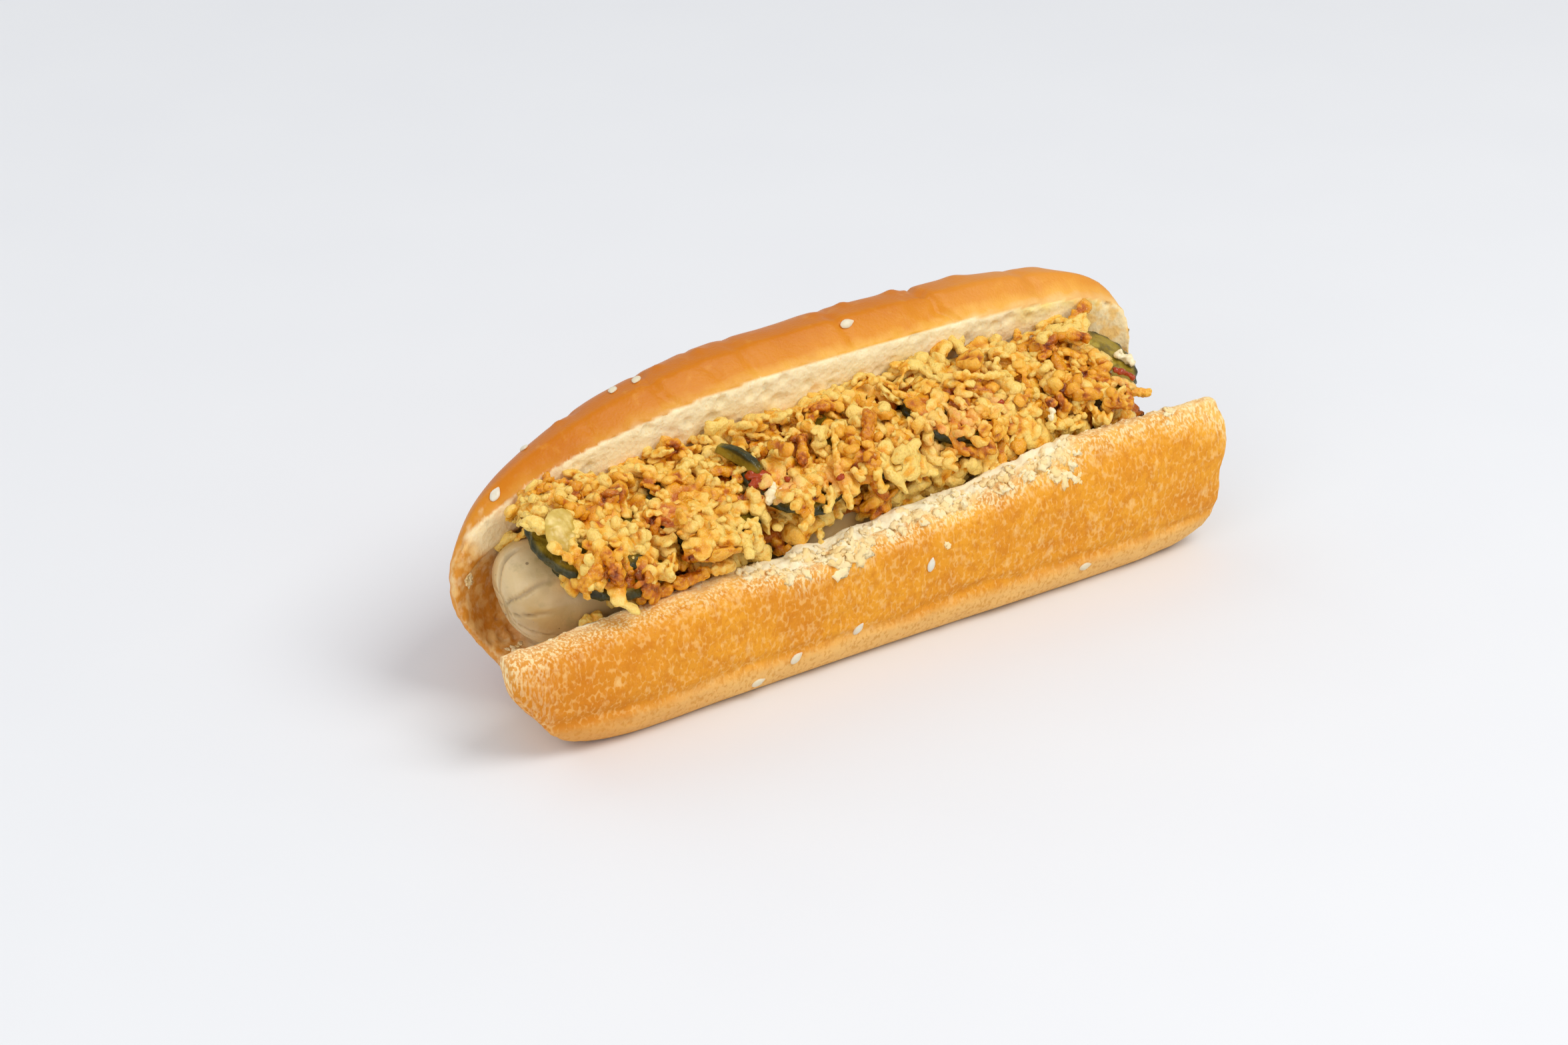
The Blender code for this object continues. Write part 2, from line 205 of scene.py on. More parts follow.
def nearAny(points, places):
    # how near each point is to any of the places: x, y and z, a reach in mm, and how much
    near = np.zeros(len(points))
    for *middle, reach, much in places:
        away = np.linalg.norm(points / mm - np.array(middle), axis=1)
        near = np.maximum(near, much * np.exp(-((away / reach) ** 2)))
    return near


def treeOf(places):
    tree = kdtree.KDTree(len(places))
    for k, place in enumerate(places):
        tree.insert(place, k)
    tree.balance()
    return tree


def outwards(points, middle):
    # the way to each point from a line that runs along the bun
    away = points - np.array(middle)
    away[:, 0] = 0
    return away / np.linalg.norm(away, axis=1)[:, None]


def axesOf(points):
    # the middle, and the ways that the piece is longest, wide and thin in
    middle = points.mean(axis=0)
    return middle, np.linalg.svd(points - middle, full_matrices=False)[2]


def finishPiece(piece, look, slot, *nodes):
    piece.data.materials.clear()
    piece.data.materials.append(look)
    piece.data.shade_smooth()
    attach(piece, "root")
    if nodes:
        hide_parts(*nodes)


# materials


class Value:
    # a socket that can be added, multiplied and so on

    def __init__(self, look, socket):
        self.look = look
        self.socket = socket

    def math(self, operation, first, second):
        return self.look.node("Math", {"operation": operation}, {0: first, 1: second})

    def __add__(self, other):
        return self.math("ADD", self, other)

    def __radd__(self, other):
        return self.math("ADD", other, self)

    def __sub__(self, other):
        return self.math("SUBTRACT", self, other)

    def __rsub__(self, other):
        return self.math("SUBTRACT", other, self)

    def __mul__(self, other):
        return self.math("MULTIPLY", self, other)

    def __rmul__(self, other):
        return self.math("MULTIPLY", other, self)


class Look:
    # a material, its nodes, and the Principled shader that they feed

    def __init__(self, name):
        self.material = bpy.data.materials.new(name)
        self.material.use_nodes = True
        self.tree = self.material.node_tree
        self.shader = self.tree.nodes["Principled BSDF"]
        self.place = self.node("TexCoord", output="Object")

    def feed(self, socket, value):
        if isinstance(value, Value):
            self.tree.links.new(value.socket, socket)
        elif isinstance(value, tuple) and len(socket.default_value) > len(value):
            socket.default_value = (*value, 1.0)
        else:
            socket.default_value = value

    def node(self, kind, settings=None, sockets=None, output=0):
        made = self.tree.nodes.new("ShaderNode" + kind)
        for setting, value in (settings or {}).items():
            if setting == "stops":
                ramp = made.color_ramp.elements
                while len(ramp) < len(value):
                    ramp.new(1.0)
                for stop, (position, colour) in zip(ramp, value):
                    stop.position = position
                    stop.color = (*colour, 1.0)
            else:
                setattr(made, setting, value)
        for socket, value in (sockets or {}).items():
            self.feed(made.inputs[socket], value)
        return Value(self, made.outputs[output])

    def mix(self, first, second, factor):
        sockets = {0: factor, 6: first, 7: second}
        return self.node("Mix", {"data_type": "RGBA"}, sockets, output=2)

    def layered(self, colour, *layers):
        # each layer is a colour that goes over what is there, and its mask
        for above, mask in layers:
            colour = self.mix(colour, above, mask)
        return colour

    def ramp(self, value, *stops):
        return self.node("ValToRGB", {"stops": stops}, {0: value})

    def between(self, value, low, high, start=0.0, end=1.0):
        settings = {"interpolation_type": "SMOOTHSTEP"}
        return self.node("MapRange", settings, {0: value, 1: low, 2: high, 3: start, 4: end})

    def attribute(self, name):
        return self.node("Attribute", {"attribute_name": name}, output="Fac")

    def along(self, axis):
        return self.node("SeparateXYZ", {}, {0: self.place}, output=axis)

    def stretched(self, stretch):
        return self.node("VectorMath", {"operation": "DIVIDE"}, {0: self.place, 1: stretch})

    def noise(self, size, detail=2.0, roughness=0.5, stretch=None, distortion=0.0):
        place = self.stretched(stretch) if stretch else self.place
        sockets = {"Vector": place, "Scale": 1 / size, "Detail": detail}
        sockets |= {"Roughness": roughness, "Distortion": distortion}
        return self.node("TexNoise", {}, sockets)

    def cells(self, size, stretch=(1.0, 1.0, 1.0), warp=0.0):
        place = self.stretched(stretch)
        if warp:
            wander = {"Scale": 0.4 / size, "Detail": 2.0}
            away = self.node("TexNoise", {}, {"Vector": self.place, **wander}, output="Color")
            away = self.node("VectorMath", {"operation": "SCALE"}, {0: away, "Scale": warp * size})
            place = self.node("VectorMath", {"operation": "ADD"}, {0: place, 1: away})
        return self.node("TexVoronoi", {}, {"Vector": place, "Scale": 1 / size})

    def bump(self, height, depth):
        # height from 0 to 1, and depth the distance that 1 stands for
        return self.node("Bump", {}, {"Height": height, "Distance": depth})

    def surface(self, soft=None, **sockets):
        # soft: how much light goes under the surface, how far in each colour, and the scale
        if soft:
            names = ("Subsurface_Weight", "Subsurface_Radius", "Subsurface_Scale")
            sockets |= dict(zip(names, soft))
        for socket, value in sockets.items():
            self.feed(self.shader.inputs[socket.replace("_", " ")], value)
        return self.material


# camera, light and floor

studio = {
    "azimuth": -33.5,
    "elevation": 27.8,
    "distance": 820 * mm,
    "lens": 85.0,
    "aim": Vector((13.0, 32.3, 0.0)) * mm,  # from the middle of the base
    "floorSize": 8.0,
    "floorColours": ((0.80, 0.81, 0.835), (0.82, 0.83, 0.85)),
    "floorRoughness": 0.6,
    "skyColour": (0.95, 0.97, 1.0),
    "skyStrength": 0.58,
}
softLights = {
    "key": {"from": (0.40, -0.60, 1.00), "size": 0.7, "power": 8.0, "colour": (1.0, 0.985, 0.96)},
    "left": {"from": (-0.90, -0.50, 0.55), "size": 0.8, "power": 3.0, "colour": (1.0, 0.98, 0.95)},
    "back": {"from": (-0.30, 0.80, 0.70), "size": 0.8, "power": 1.6, "colour": (1.0, 1.0, 1.0)},
}


def directionTo(azimuth, elevation):
    turn, rise = math.radians(azimuth), math.radians(elevation)
    flat = math.cos(rise)
    return Vector((math.sin(turn) * flat, -math.cos(turn) * flat, math.sin(rise)))


towardsCamera = directionTo(studio["azimuth"], studio["elevation"])


def makeStudio():
    middle = (cadLow + cadHigh) / 2
    middle.z = cadLow.z
    camera = newObject("camera", bpy.data.cameras.new("camera"))
    camera.data.lens = studio["lens"]
    camera.data.clip_start = 0.01
    camera.location = middle + studio["aim"] + towardsCamera * studio["distance"]
    camera.rotation_euler = towardsCamera.to_track_quat("Z", "Y").to_euler()
    bpy.context.scene.camera = camera

    world = bpy.data.worlds.new("soft sky")
    world.use_nodes = True
    sky = world.node_tree.nodes["Background"]
    sky.inputs["Color"].default_value = (*studio["skyColour"], 1.0)
    sky.inputs["Strength"].default_value = studio["skyStrength"]
    bpy.context.scene.world = world
    for name, light in softLights.items():
        lamp = newObject(name, bpy.data.lights.new(name, "AREA"))
        lamp.data.size = light["size"]
        lamp.data.energy = light["power"]
        lamp.data.color = light["colour"]
        lamp.location = Vector(light["from"])
        lamp.rotation_euler = (lamp.location - middle).to_track_quat("Z", "Y").to_euler()

    bpy.ops.object.select_all(action="DESELECT")
    bpy.ops.mesh.primitive_plane_add(size=studio["floorSize"], location=middle)
    floor = bpy.context.active_object
    floor.name = "floor"
    look = Look("pale floor")
    colour = look.mix(*studio["floorColours"], look.noise(40 * mm, detail=1.0))
    pale = look.surface(Base_Color=colour, Roughness=studio["floorRoughness"])
    floor.data.materials.append(pale)
    bpy.context.scene.view_settings.view_transform = "Standard"
    print("studio made")


# bun

bunShape = {
    "sharpEdge": 35,  # in degrees
    "voxel": 0.72 * mm,
    "smoothing": 3,
    "troughRise": 13.0 * mm,  # the opening's middle, over the sausage's axis
    "poreSize": 3.4 * mm,
    "poreDepth": 0.7 * mm,
    "crumbRoughness": 0.16 * mm,
    "waviness": 0.35 * mm,
    "lipRoughness": 0.4 * mm,  # where the crust meets the crumb
    "tuftHeights": (1.4, 1.3),  # large and small tufts of torn crumb, in mm
    "footCrease": {"height": 8.5, "depth": 0.7, "width": 1.3},  # in mm
    "dents": 0.3,  # in the front half's wall, in mm
    # x in mm, and how far the crust turns in over the front rim there: the torn middle
    # stretch bares the crumb outside
    "crustReach": ((-60, -35, -25, 44, 53, 90), (0.75, 0.55, -0.30, -0.30, 0.6, 0.7)),
    # x in mm, and how low the front rim is torn there, in mm
    "tornDepth": ((-80, -50, -38, -30, 18, 44, 60), (0.8, 1.6, 2.8, 4.0, 3.4, 1.2, 0.4)),
}
# mustard on the crumb: a place, a reach in mm, and how much
mustardStains = (
    (57.0, 4.5, 51.0, 3.5, 0.7), (62.0, 4.0, 52.5, 3.0, 1.0), (68.0, 3.5, 52.5, 3.5, 0.9),
    (73.0, 3.0, 50.5, 3.0, 0.8), (24.0, 4.0, 46.5, 3.0, 0.55),
    (-20.0, 4.0, 44.0, 3.5, 0.45), (-10.0, 4.0, 44.5, 3.0, 0.4),
)
# cross wrinkles in the domed crust, in mm: x, how far they lean, their width and their depth
wrinkles = (
    (64.0, -30.0, 1.6, 0.3),
    (44.0, -52.0, 1.1, 0.9),
    (41.0, -52.0, 1.9, 0.35),
    (20.0, -45.0, 1.2, 0.35),
    (-5.0, -45.0, 1.1, 0.35),
    (-12.0, -62.0, 1.4, 0.2),
    (-28.0, -40.0, 1.2, 0.5),
    (-49.0, -25.0, 1.4, 0.3),
)
# small blisters on the back of the dome: a place, a reach and a height in mm
blisters = (
    (30.0, 16.5, 57.5, 2.0, 0.7), (17.0, 16.0, 57.0, 1.5, 0.8), (9.0, 15.0, 57.5, 1.7, 0.5),
    (-20.0, 14.5, 57.0, 1.6, 0.6), (-30.0, 15.0, 56.5, 1.6, 0.6),
    (46.0, 16.0, 57.0, 2.4, 0.5), (-55.0, 13.0, 51.5, 1.4, 0.6),
)


def makeBun():
    bun = copyOfNode("bun", "opened_bun")
    creaseSharpEdges(bun, bunShape["sharpEdge"], 1.0)
    subdivide(bun, 2)
    remesh(bun, bunShape["voxel"], bunShape["smoothing"])
    points, normals = pointsOf(bun), normalsOf(bun)

    # the cut faces are those that look towards the middle of the opening
    away = outwards(points, sausageMiddle + up * bunShape["troughRise"])
    facing = -(normals * away).sum(axis=1)
    front = smoothStep(-points[:, 1], -4 * mm, 6 * mm)
    ragged = 0.10 * noiseAt(points, 1.6 * mm) + 0.10 * noiseAt(points, 5 * mm, 3.1)
    turnedIn = front * np.interp(points[:, 0] / mm, *bunShape["crustReach"])
    crumb = smoothStep(facing + ragged * (1 + 2 * front) - turnedIn, -0.06, 0.10)
    edge = distanceToEdge(bun, points, crumb)
    setAttribute(bun, "crumb", crumb)
    setAttribute(bun, "edge", edge / mm)
    setAttribute(bun, "front", front)
    setAttribute(bun, "thin", thinCrust(points, crumb))
    setAttribute(bun, "stain", nearAny(points, mustardStains))

    points[:, 2] -= tornRim(points) * mm
    lift = bunShape["waviness"] * noiseAt(points, 17 * mm, 1.7)
    lift += 0.5 * bunShape["waviness"] * noiseAt(points, 7 * mm, 5.2)
    lift += crumb * crumbRelief(points)
    near = 1 - smoothStep(edge, 0.5 * mm, 3.0 * mm)
    lift += near * bunShape["lipRoughness"] * noiseAt(points, 2.1 * mm, 8.8)
    lift += front * (1 - smoothStep(edge, 2.0 * mm, 5.0 * mm)) * tornRelief(points)
    lift -= (1 - crumb) * (1 - front) * wrinkleDepth(points)
    for *middle, reach, rise in blisters:
        lift += rise * mm * nearAny(points, ((*middle, reach, 1.0),))
    lift += front * (1 - crumb) * wallRelief(points)
    low = smoothStep(points[:, 2], 0.3 * mm, 2.5 * mm)  # the underside stays flat on the floor
    points += normals * (lift * low)[:, None]
    points[:, 2] = np.maximum(points[:, 2], cadLow.z)
    movePoints(bun, points)
    finishPiece(bun, bunLook(), "crust", "bun")
    print("bun made:", len(bun.data.polygons), "faces")


def distanceToEdge(bun, points, crumb):
    # distance from each point to the line where the crust ends and the crumb starts
    a, b = edgesOf(bun)
    crossing = np.unique(a[(crumb[a] - 0.5) * (crumb[b] - 0.5) < 0])
    tree = treeOf(points[crossing].tolist())
    return np.array([tree.find(place)[2] for place in points.tolist()])


def tornRelief(points):
    # tufts of torn crumb along the middle of the front rim
    x, _, z = points.T / mm
    torn = smoothStep(x, -36, -24) * (1 - smoothStep(x, 46, 54)) * smoothStep(z, 22, 30)
    large, small = bunShape["tuftHeights"]
    tufts = large * noiseAt(points, 2.6 * mm, 5.5) + small * noiseAt(points, 1.25 * mm, 1.9)
    return torn * tufts * mm


def tornRim(points):
    # the front rim is torn lower in the middle, in mm
    x, y, z = points.T / mm
    torn = np.interp(x, *bunShape["tornDepth"])
    ragged = 1 + 0.35 * noiseAt(points, 6 * mm, 3.7)
    return torn * ragged * smoothStep(z, 22, 33) * smoothStep(-y, 12, 18)


def thinCrust(points, crumb):
    # inside the left end only a thin browned skin is left of the crumb
    x, _, z = points.T / mm
    wander = 2.5 * noiseAt(points, 7 * mm, 9.0) + 1.2 * noiseAt(points, 2.5 * mm, 4.0)
    low = smoothStep(30 + 0.9 * (-74 - x) + wander - z, -2.0, 3.0)
    return crumb * low * smoothStep(-x, 68, 74)


def crumbRelief(points):
    # open pores in some of the cells, and a fine roughness
    distance, chance = cellsAt(points, bunShape["poreSize"])
    size = 0.36 * np.clip(np.abs(chance) * 2 - 0.5, 0, 1)
    pores = -bunShape["poreDepth"] * (1 - smoothStep(distance, 0.5 * size, 1.4 * size))
    rough = noiseAt(points, 1.7 * mm, 2.2) + 0.6 * noiseAt(points, 4.5 * mm, 6.1)
    return pores + bunShape["crumbRoughness"] * (rough - 0.4)


def wallRelief(points):
    # a ragged crease along the foot of the front half, and shallow dents over it
    _, y, z = points.T / mm
    crease = bunShape["footCrease"]
    height = crease["height"] + 1.5 * noiseAt(points, 22 * mm, 7.0)
    height += 0.8 * noiseAt(points, 5 * mm, 2.0)
    low = -crease["depth"] * np.exp(-(((z - height) / crease["width"]) ** 2))
    low *= smoothStep(y, -26.0, -29.0)
    dents = bunShape["dents"] * noiseAt(points, 4.5 * mm, 6.6)
    dents += 0.4 * bunShape["dents"] * noiseAt(points, 1.6 * mm, 3.3)
    return (low + dents) * mm


def wrinkleDepth(points):
    depth = np.zeros(len(points))
    wander = (2.2 * noiseAt(points, 6 * mm, 4.4) + 0.8 * noiseAt(points, 2.2 * mm, 1.1)) * mm
    uneven = 0.6 + 1.4 * np.abs(noiseAt(points, 5 * mm, 6.2))
    for x, lean, width, deep in wrinkles:
        rise = points[:, 2] / cadHigh.z - 0.8
        across = points[:, 0] - x * mm - lean * mm * rise + wander
        fade = smoothStep(points[:, 2], 0.55 * cadHigh.z, 0.85 * cadHigh.z)
        depth += uneven * deep * mm * fade * np.exp(-((across / (width * mm)) ** 2))
    return depth


def bunGrain(look):
    # patterns that several of the bun's colours and its relief share
    return {
        "patches": look.noise(16 * mm, detail=3.0),
        "mottle": look.noise(3.2 * mm, detail=5.0, roughness=0.6),
        "fine": look.noise(0.6 * mm, detail=3.0),
        "network": look.cells(0.75 * mm, stretch=(1.0, 1.0, 1.5), warp=1.2),
        "pits": look.noise(0.8 * mm, detail=3.0, stretch=(1.0, 1.0, 1.4), distortion=0.4),
        "fibres": look.noise(0.55 * mm, detail=2.0, stretch=(1.0, 1.0, 3.5)),
        "spots": look.noise(1.7 * mm, detail=3.0, stretch=(1.0, 1.0, 1.6)),
        "bubbles": look.cells(1.4 * mm, warp=1.0),
    }


def domeCrust(look, grain, wander):
    # glossy back half: orange-brown on top, golden towards the cut, with painted light towards the
    # right end and painted shade towards the left
    across = look.along("X")
    # lighter towards the right end: painted light; the ramp also runs darker on the left as painted
    # shade
    rightSide = look.between(across, 0.020, 0.065)
    dome = look.ramp(
        look.between(wander + (1 - rightSide) * 1.6, 0.0, 13.0),
        (0.0, (0.88, 0.60, 0.24)),
        (0.08, (0.84, 0.43, 0.06)),
        (0.28, (0.72, 0.26, 0.008)),
        (1.0, (0.59, 0.172, 0.0015)),
    )
    return look.layered(
        dome,
        ((0.56, 0.145, 0.002), look.between(grain["patches"], 0.5, 0.8) * 0.6),
        # darker towards the left: painted shade
        ((0.55, 0.15, 0.001), look.between(across, -0.055, 0.005, 0.55, 0.0)),
        ((0.86, 0.40, 0.07), rightSide * 0.35),
        ((0.74, 0.29, 0.014), look.between(across, -0.086, -0.070, 0.8, 0.0)),
        ((0.88, 0.47, 0.09), look.between(grain["mottle"], 0.55, 0.8) * 0.25),
    )


def wallCrust(look, grain, wander, leftEnd):
    # matte front half: a fine pale network over orange, paler and drawn out under the rim, with
    # painted shade at the left end
    patches, pits, fibres = grain["patches"], grain["pits"], grain["fibres"]
    under = look.between(wander, 3.0, 8.0, 1.0, 0.0)
    tornEnd = look.between(look.along("X"), -0.0835, -0.0795, 1.0, 0.0)
    wall = look.ramp(
        look.between(wander, 0.0, 9.0),
        (0.0, (0.95, 0.72, 0.34)),
        (0.22, (0.93, 0.56, 0.14)),
        (0.6, (0.88, 0.42, 0.040)),
        (1.0, (0.82, 0.345, 0.020)),
    )
    wall = look.layered(
        wall,
        ((0.66, 0.205, 0.006), look.between(patches, 0.42, 0.72) * 0.55),
        # darker at the left end: painted shade
        ((0.60, 0.17, 0.005), leftEnd * 0.55),
        ((0.60, 0.18, 0.004), look.between(grain["mottle"], 0.46, 0.68) * 0.5),
        ((0.64, 0.21, 0.006), look.between(pits, 0.50, 0.66) * 0.4),
        ((0.97, 0.62, 0.22), look.between(grain["network"], 0.55, 0.85) * 0.4),
        ((0.97, 0.66, 0.28), look.between(grain["spots"], 0.56, 0.72) * 0.35),
        ((0.98, 0.80, 0.44), look.between(fibres, 0.46, 0.62) * under * 0.75),
        ((0.98, 0.80, 0.46), look.between(fibres, 0.42, 0.6) * tornEnd * 0.25),
    )
    foot = look.layered(
        (0.87, 0.51, 0.16),
        ((0.70, 0.33, 0.06), look.between(pits, 0.48, 0.66) * 0.8),
        # the foot darker at the left end: painted shade
        ((0.70, 0.26, 0.025), leftEnd * 0.6),
    )
    overFoot = look.between(look.along("Z") + (patches - 0.5) * (4 * mm), 5 * mm, 9 * mm)
    return look.mix(foot, wall, overFoot)


def cutFaces(look, grain, front, leftEnd, thin):
    # cream and soft, with bubbles darker at their middles as painted shade in the pores, pale
    # specks of painted highlight, painted shade at the left end, mustard stains and a thin browned
    # skin at the left end
    back = 1 - front
    cloud = look.noise(3 * mm, detail=3.0)
    rightEnd = look.between(look.along("X") + (cloud - 0.5) * (10 * mm), 0.066, 0.075)
    cracked = look.between(cloud, 0.4, 0.6, 0.35, 0.95)
    skin = look.layered(
        (0.70, 0.28, 0.03),
        ((0.86, 0.52, 0.18), look.between(cloud, 0.42, 0.64)),
        ((0.93, 0.70, 0.40), look.between(grain["spots"], 0.5, 0.7) * 0.5),
    )
    return look.layered(
        (0.92, 0.69, 0.36),
        # darker at the bubbles' middles: painted shade in the pores
        ((0.99, 0.85, 0.53), look.between(grain["bubbles"], 0.0, 0.3)),
        # pale fine specks: painted highlights
        ((1.0, 0.92, 0.66), look.between(grain["fine"], 0.45, 0.65) * 0.5),
        ((0.90, 0.65, 0.33), look.between(cloud, 0.5, 0.75) * 0.25),
        ((0.99, 0.89, 0.64), front * 0.6),
        # crumb darker at the left end: painted shade
        ((0.84, 0.55, 0.25), leftEnd * back * 0.45),
        ((0.93, 0.57, 0.17), rightEnd * back * cracked),
        ((0.93, 0.68, 0.10), look.attribute("stain") * 0.8),
        (skin, thin),
    )


def bunLook():
    look = Look("bun crust and crumb")
    names = ("crumb", "edge", "front", "thin")
    crumb, edge, front, thin = (look.attribute(name) for name in names)
    grain = bunGrain(look)
    fine = grain["fine"]
    wander = edge + (look.noise(5 * mm, detail=4.0) - 0.5) * 4.0
    # painted shade over the left end of the bun, with a ragged border
    nearLeft = look.along("X") + (grain["patches"] - 0.5) * (30 * mm)
    leftEnd = look.between(nearLeft, -0.085, -0.035, 1.0, 0.0)
    colour = look.layered(
        domeCrust(look, grain, wander),
        (wallCrust(look, grain, wander, leftEnd), front),
        ((0.62, 0.22, 0.01), look.between(fine, 0.6, 0.85) * 0.3),
        (cutFaces(look, grain, front, leftEnd, thin), crumb),
    )
    sponge = grain["bubbles"] * 0.8 + look.noise(0.7 * mm, detail=3.0) * 0.6
    matte = (grain["fibres"] * 0.5 - grain["network"] * 0.4 - grain["pits"] * 0.6) * front
    glossy = (grain["mottle"] * 0.9 + fine * 0.25) * (1 - front)
    relief = fine * 0.2 + (matte + glossy) * (1 - crumb) + crumb * (1 - thin * 0.6) * sponge
    return look.surface(
        Base_Color=colour,
        Roughness=look.between(crumb - thin * 0.5 + front * 0.6, 0.0, 1.0, 0.38, 0.8),
        Normal=look.bump(relief, 0.2 * mm),
        Specular_IOR_Level=0.22,
        soft=(0.2, (1.0, 0.8, 0.55), 0.7 * mm),
    )


# sausage

sausageShape = {
    "voxel": 0.5 * mm,
    "smoothing": 6,
    "waviness": 0.15 * mm,
    "tip": Vector((0.0, -2.2, 0.5)) * mm,  # the pucker, from the axis
    "puckers": 9,
    "puckerDepth": 0.75 * mm,
    "puckerWidth": 0.32,
    "puckerReach": 17 * mm,
    "endReach": 15 * mm,  # the left end swells, rises and turns
    "endSwell": 0.07,
    "endRise": 1.8 * mm,
    "endShear": 0.35,
    "endTurn": Vector((0.0, 0.6, -0.8)),  # the side that the end turns to
}


def makeSausage():
    sausage = copyOfNode("sausage", "steamed_sausage")
    subdivide(sausage, 2)
    remesh(sausage, sausageShape["voxel"], sausageShape["smoothing"])
    points = pointsOf(sausage)
    fromLeft = points[:, 0] - sausageLow.x
    ending = 1 - smoothStep(fromLeft, 0, sausageShape["endReach"])
    whole = 1 - smoothStep(fromLeft, 0, 2.5 * sausageShape["endReach"])
    side = points - np.array(sausageMiddle)
    side[:, 0] = 0
    points += side * (sausageShape["endSwell"] * whole)[:, None]
    points[:, 2] += sausageShape["endRise"] * whole
    points[:, 0] += sausageShape["endShear"] * ending * (side @ np.array(sausageShape["endTurn"]))
    movePoints(sausage, points)
    normals = normalsOf(sausage)
    lift = sausageShape["waviness"] * noiseAt(points, 14 * mm)
    shade = np.zeros(len(points))
    tip = np.array(sausageMiddle + sausageShape["tip"])
    for shift, end in ((-1, sausageLow.x), (1, sausageHigh.x)):
        # uneven grooves that run out from the pucker at this end, darkened in colour as painted
        # shade
        away = np.abs(points[:, 0] - end)
        turn = np.arctan2(points[:, 2] - tip[2], points[:, 1] - tip[1])
        turn = turn + 0.25 * noiseAt(points, 9 * mm, 5.0 * shift)
        groove = np.abs(np.sin(turn * sausageShape["puckers"] / 2 + 0.4 * np.sin(2 * turn)))
        groove = 1 - smoothStep(groove, 0.0, sausageShape["puckerWidth"])
        around = np.stack([turn, turn, turn * 0], axis=1)
        length = np.clip(0.55 + 0.45 * noiseAt(around, 0.6, 2.0 * shift), 0.2, 1)
        fade = 1 - smoothStep(away, 1.0 * mm, sausageShape["puckerReach"] * length)
        lift -= sausageShape["puckerDepth"] * groove * fade
        shade += groove * fade
    # the grooves, kept for painted shade in the colour
    setAttribute(sausage, "crease", shade)
    movePoints(sausage, points + normals * lift[:, None])
    finishPiece(sausage, sausageLook(), "sausage", "sausage")
    print("sausage made:", len(sausage.data.polygons), "faces")


def sausageLook():
    look = Look("pale sausage")
    cloud = look.noise(9 * mm, detail=3.0)
    patches = look.noise(3 * mm, detail=3.0)
    colour = look.layered(
        (0.58, 0.40, 0.17),
        ((0.72, 0.53, 0.27), look.between(cloud, 0.35, 0.65)),
        ((0.42, 0.31, 0.13), look.between(patches, 0.52, 0.7) * 0.45),
        # darker in the pucker's grooves: painted shade
        ((0.38, 0.23, 0.10), look.attribute("crease") * 0.65),
    )
    for size, near in ((2.9 * mm, 0.045), (5.3 * mm, 0.05)):
        specks = look.between(look.cells(size, warp=0.3), near, near + 0.03, 1.0, 0.0)
        colour = look.mix(colour, (0.16, 0.08, 0.03), specks * 0.7)
    grain = look.noise(0.8 * mm, detail=3.0)
    return look.surface(
        Base_Color=colour,
        Roughness=look.between(cloud, 0.3, 0.7, 0.28, 0.42),
        Normal=look.bump(grain + look.noise(2.5 * mm) * 1.5, 0.07 * mm),
        soft=(0.25, (1.0, 0.7, 0.45), 1.2 * mm),
        Coat_Weight=0.25,
        Coat_Roughness=0.15,
    )


# pickles

pickleShape = {
    "sharpEdge": 50,  # in degrees
    "voxel": 0.4 * mm,
    "smoothing": 4,
    "scallop": 1.0 * mm,
    "scallopSize": 1.9 * mm,
    "shifts": {  # slices that have slipped, in mm
        "pickle_slice_1": (1.3, -1.8, -1.2),
        "pickle_slice_2": (-0.8, -0.6, -0.8),
        "pickle_strip": (-1.4, -0.6, -0.9),
    },
    "skin": 1.0 * mm,
    "seedSize": 2.6 * mm,
    "seedRise": 0.25 * mm,
    "hollow": 0.3 * mm,  # inside the skin
    "flakeGrowth": 1.1,
    "flakeTurn": -42.0,  # about the view
    "flakeShift": Vector((-2.7, -4.0, -0.8)) * mm,
    "endThickness": 0.72,
    "endVoxel": 0.25 * mm,
    "endBevel": 0.35 * mm,
}


def makePickle(node, name, look):
    pickle = copyOfNode(node, name)
    creaseSharpEdges(pickle, pickleShape["sharpEdge"], 0.5)
    subdivide(pickle, 2)
    remesh(pickle, pickleShape["voxel"], pickleShape["smoothing"])
    points, normals = pointsOf(pickle), normalsOf(pickle)
    points += np.array(pickleShape["shifts"].get(node, (0, 0, 0))) * mm
    middle, axes = axesOf(points)
    radius = np.linalg.norm((points - middle) @ axes[:2].T, axis=1)
    rim = radius.max()
    sideways = 1 - np.abs(normals @ axes[2])
    waves = noiseAt(points, pickleShape["scallopSize"], 2.0)
    lift = pickleShape["scallop"] * sideways * waves
    # seeds that stand up in the middle of the faces, a hollow ring round them, and a skin
    seeds, _ = cellsAt(points, pickleShape["seedSize"], 4.0)
    inner = 1 - smoothStep(radius, 0.55 * rim, 0.75 * rim)
    face = pickleShape["seedRise"] * inner * (1 - smoothStep(seeds, 0.1, 0.45))
    face += 0.18 * mm * noiseAt(points, 3 * mm)
    face -= pickleShape["hollow"] * smoothStep(radius, 0.6 * rim, 0.85 * rim)
    lift += (1 - sideways) * face
    skinStart = rim - 1.6 * pickleShape["skin"]
    skin = smoothStep(radius + 0.3 * mm * waves, skinStart, rim - 0.4 * mm)
    setAttribute(pickle, "rim", skin)
    setAttribute(pickle, "core", inner)
    movePoints(pickle, points + normals * lift[:, None])
    finishPiece(pickle, look, "pickle", node)


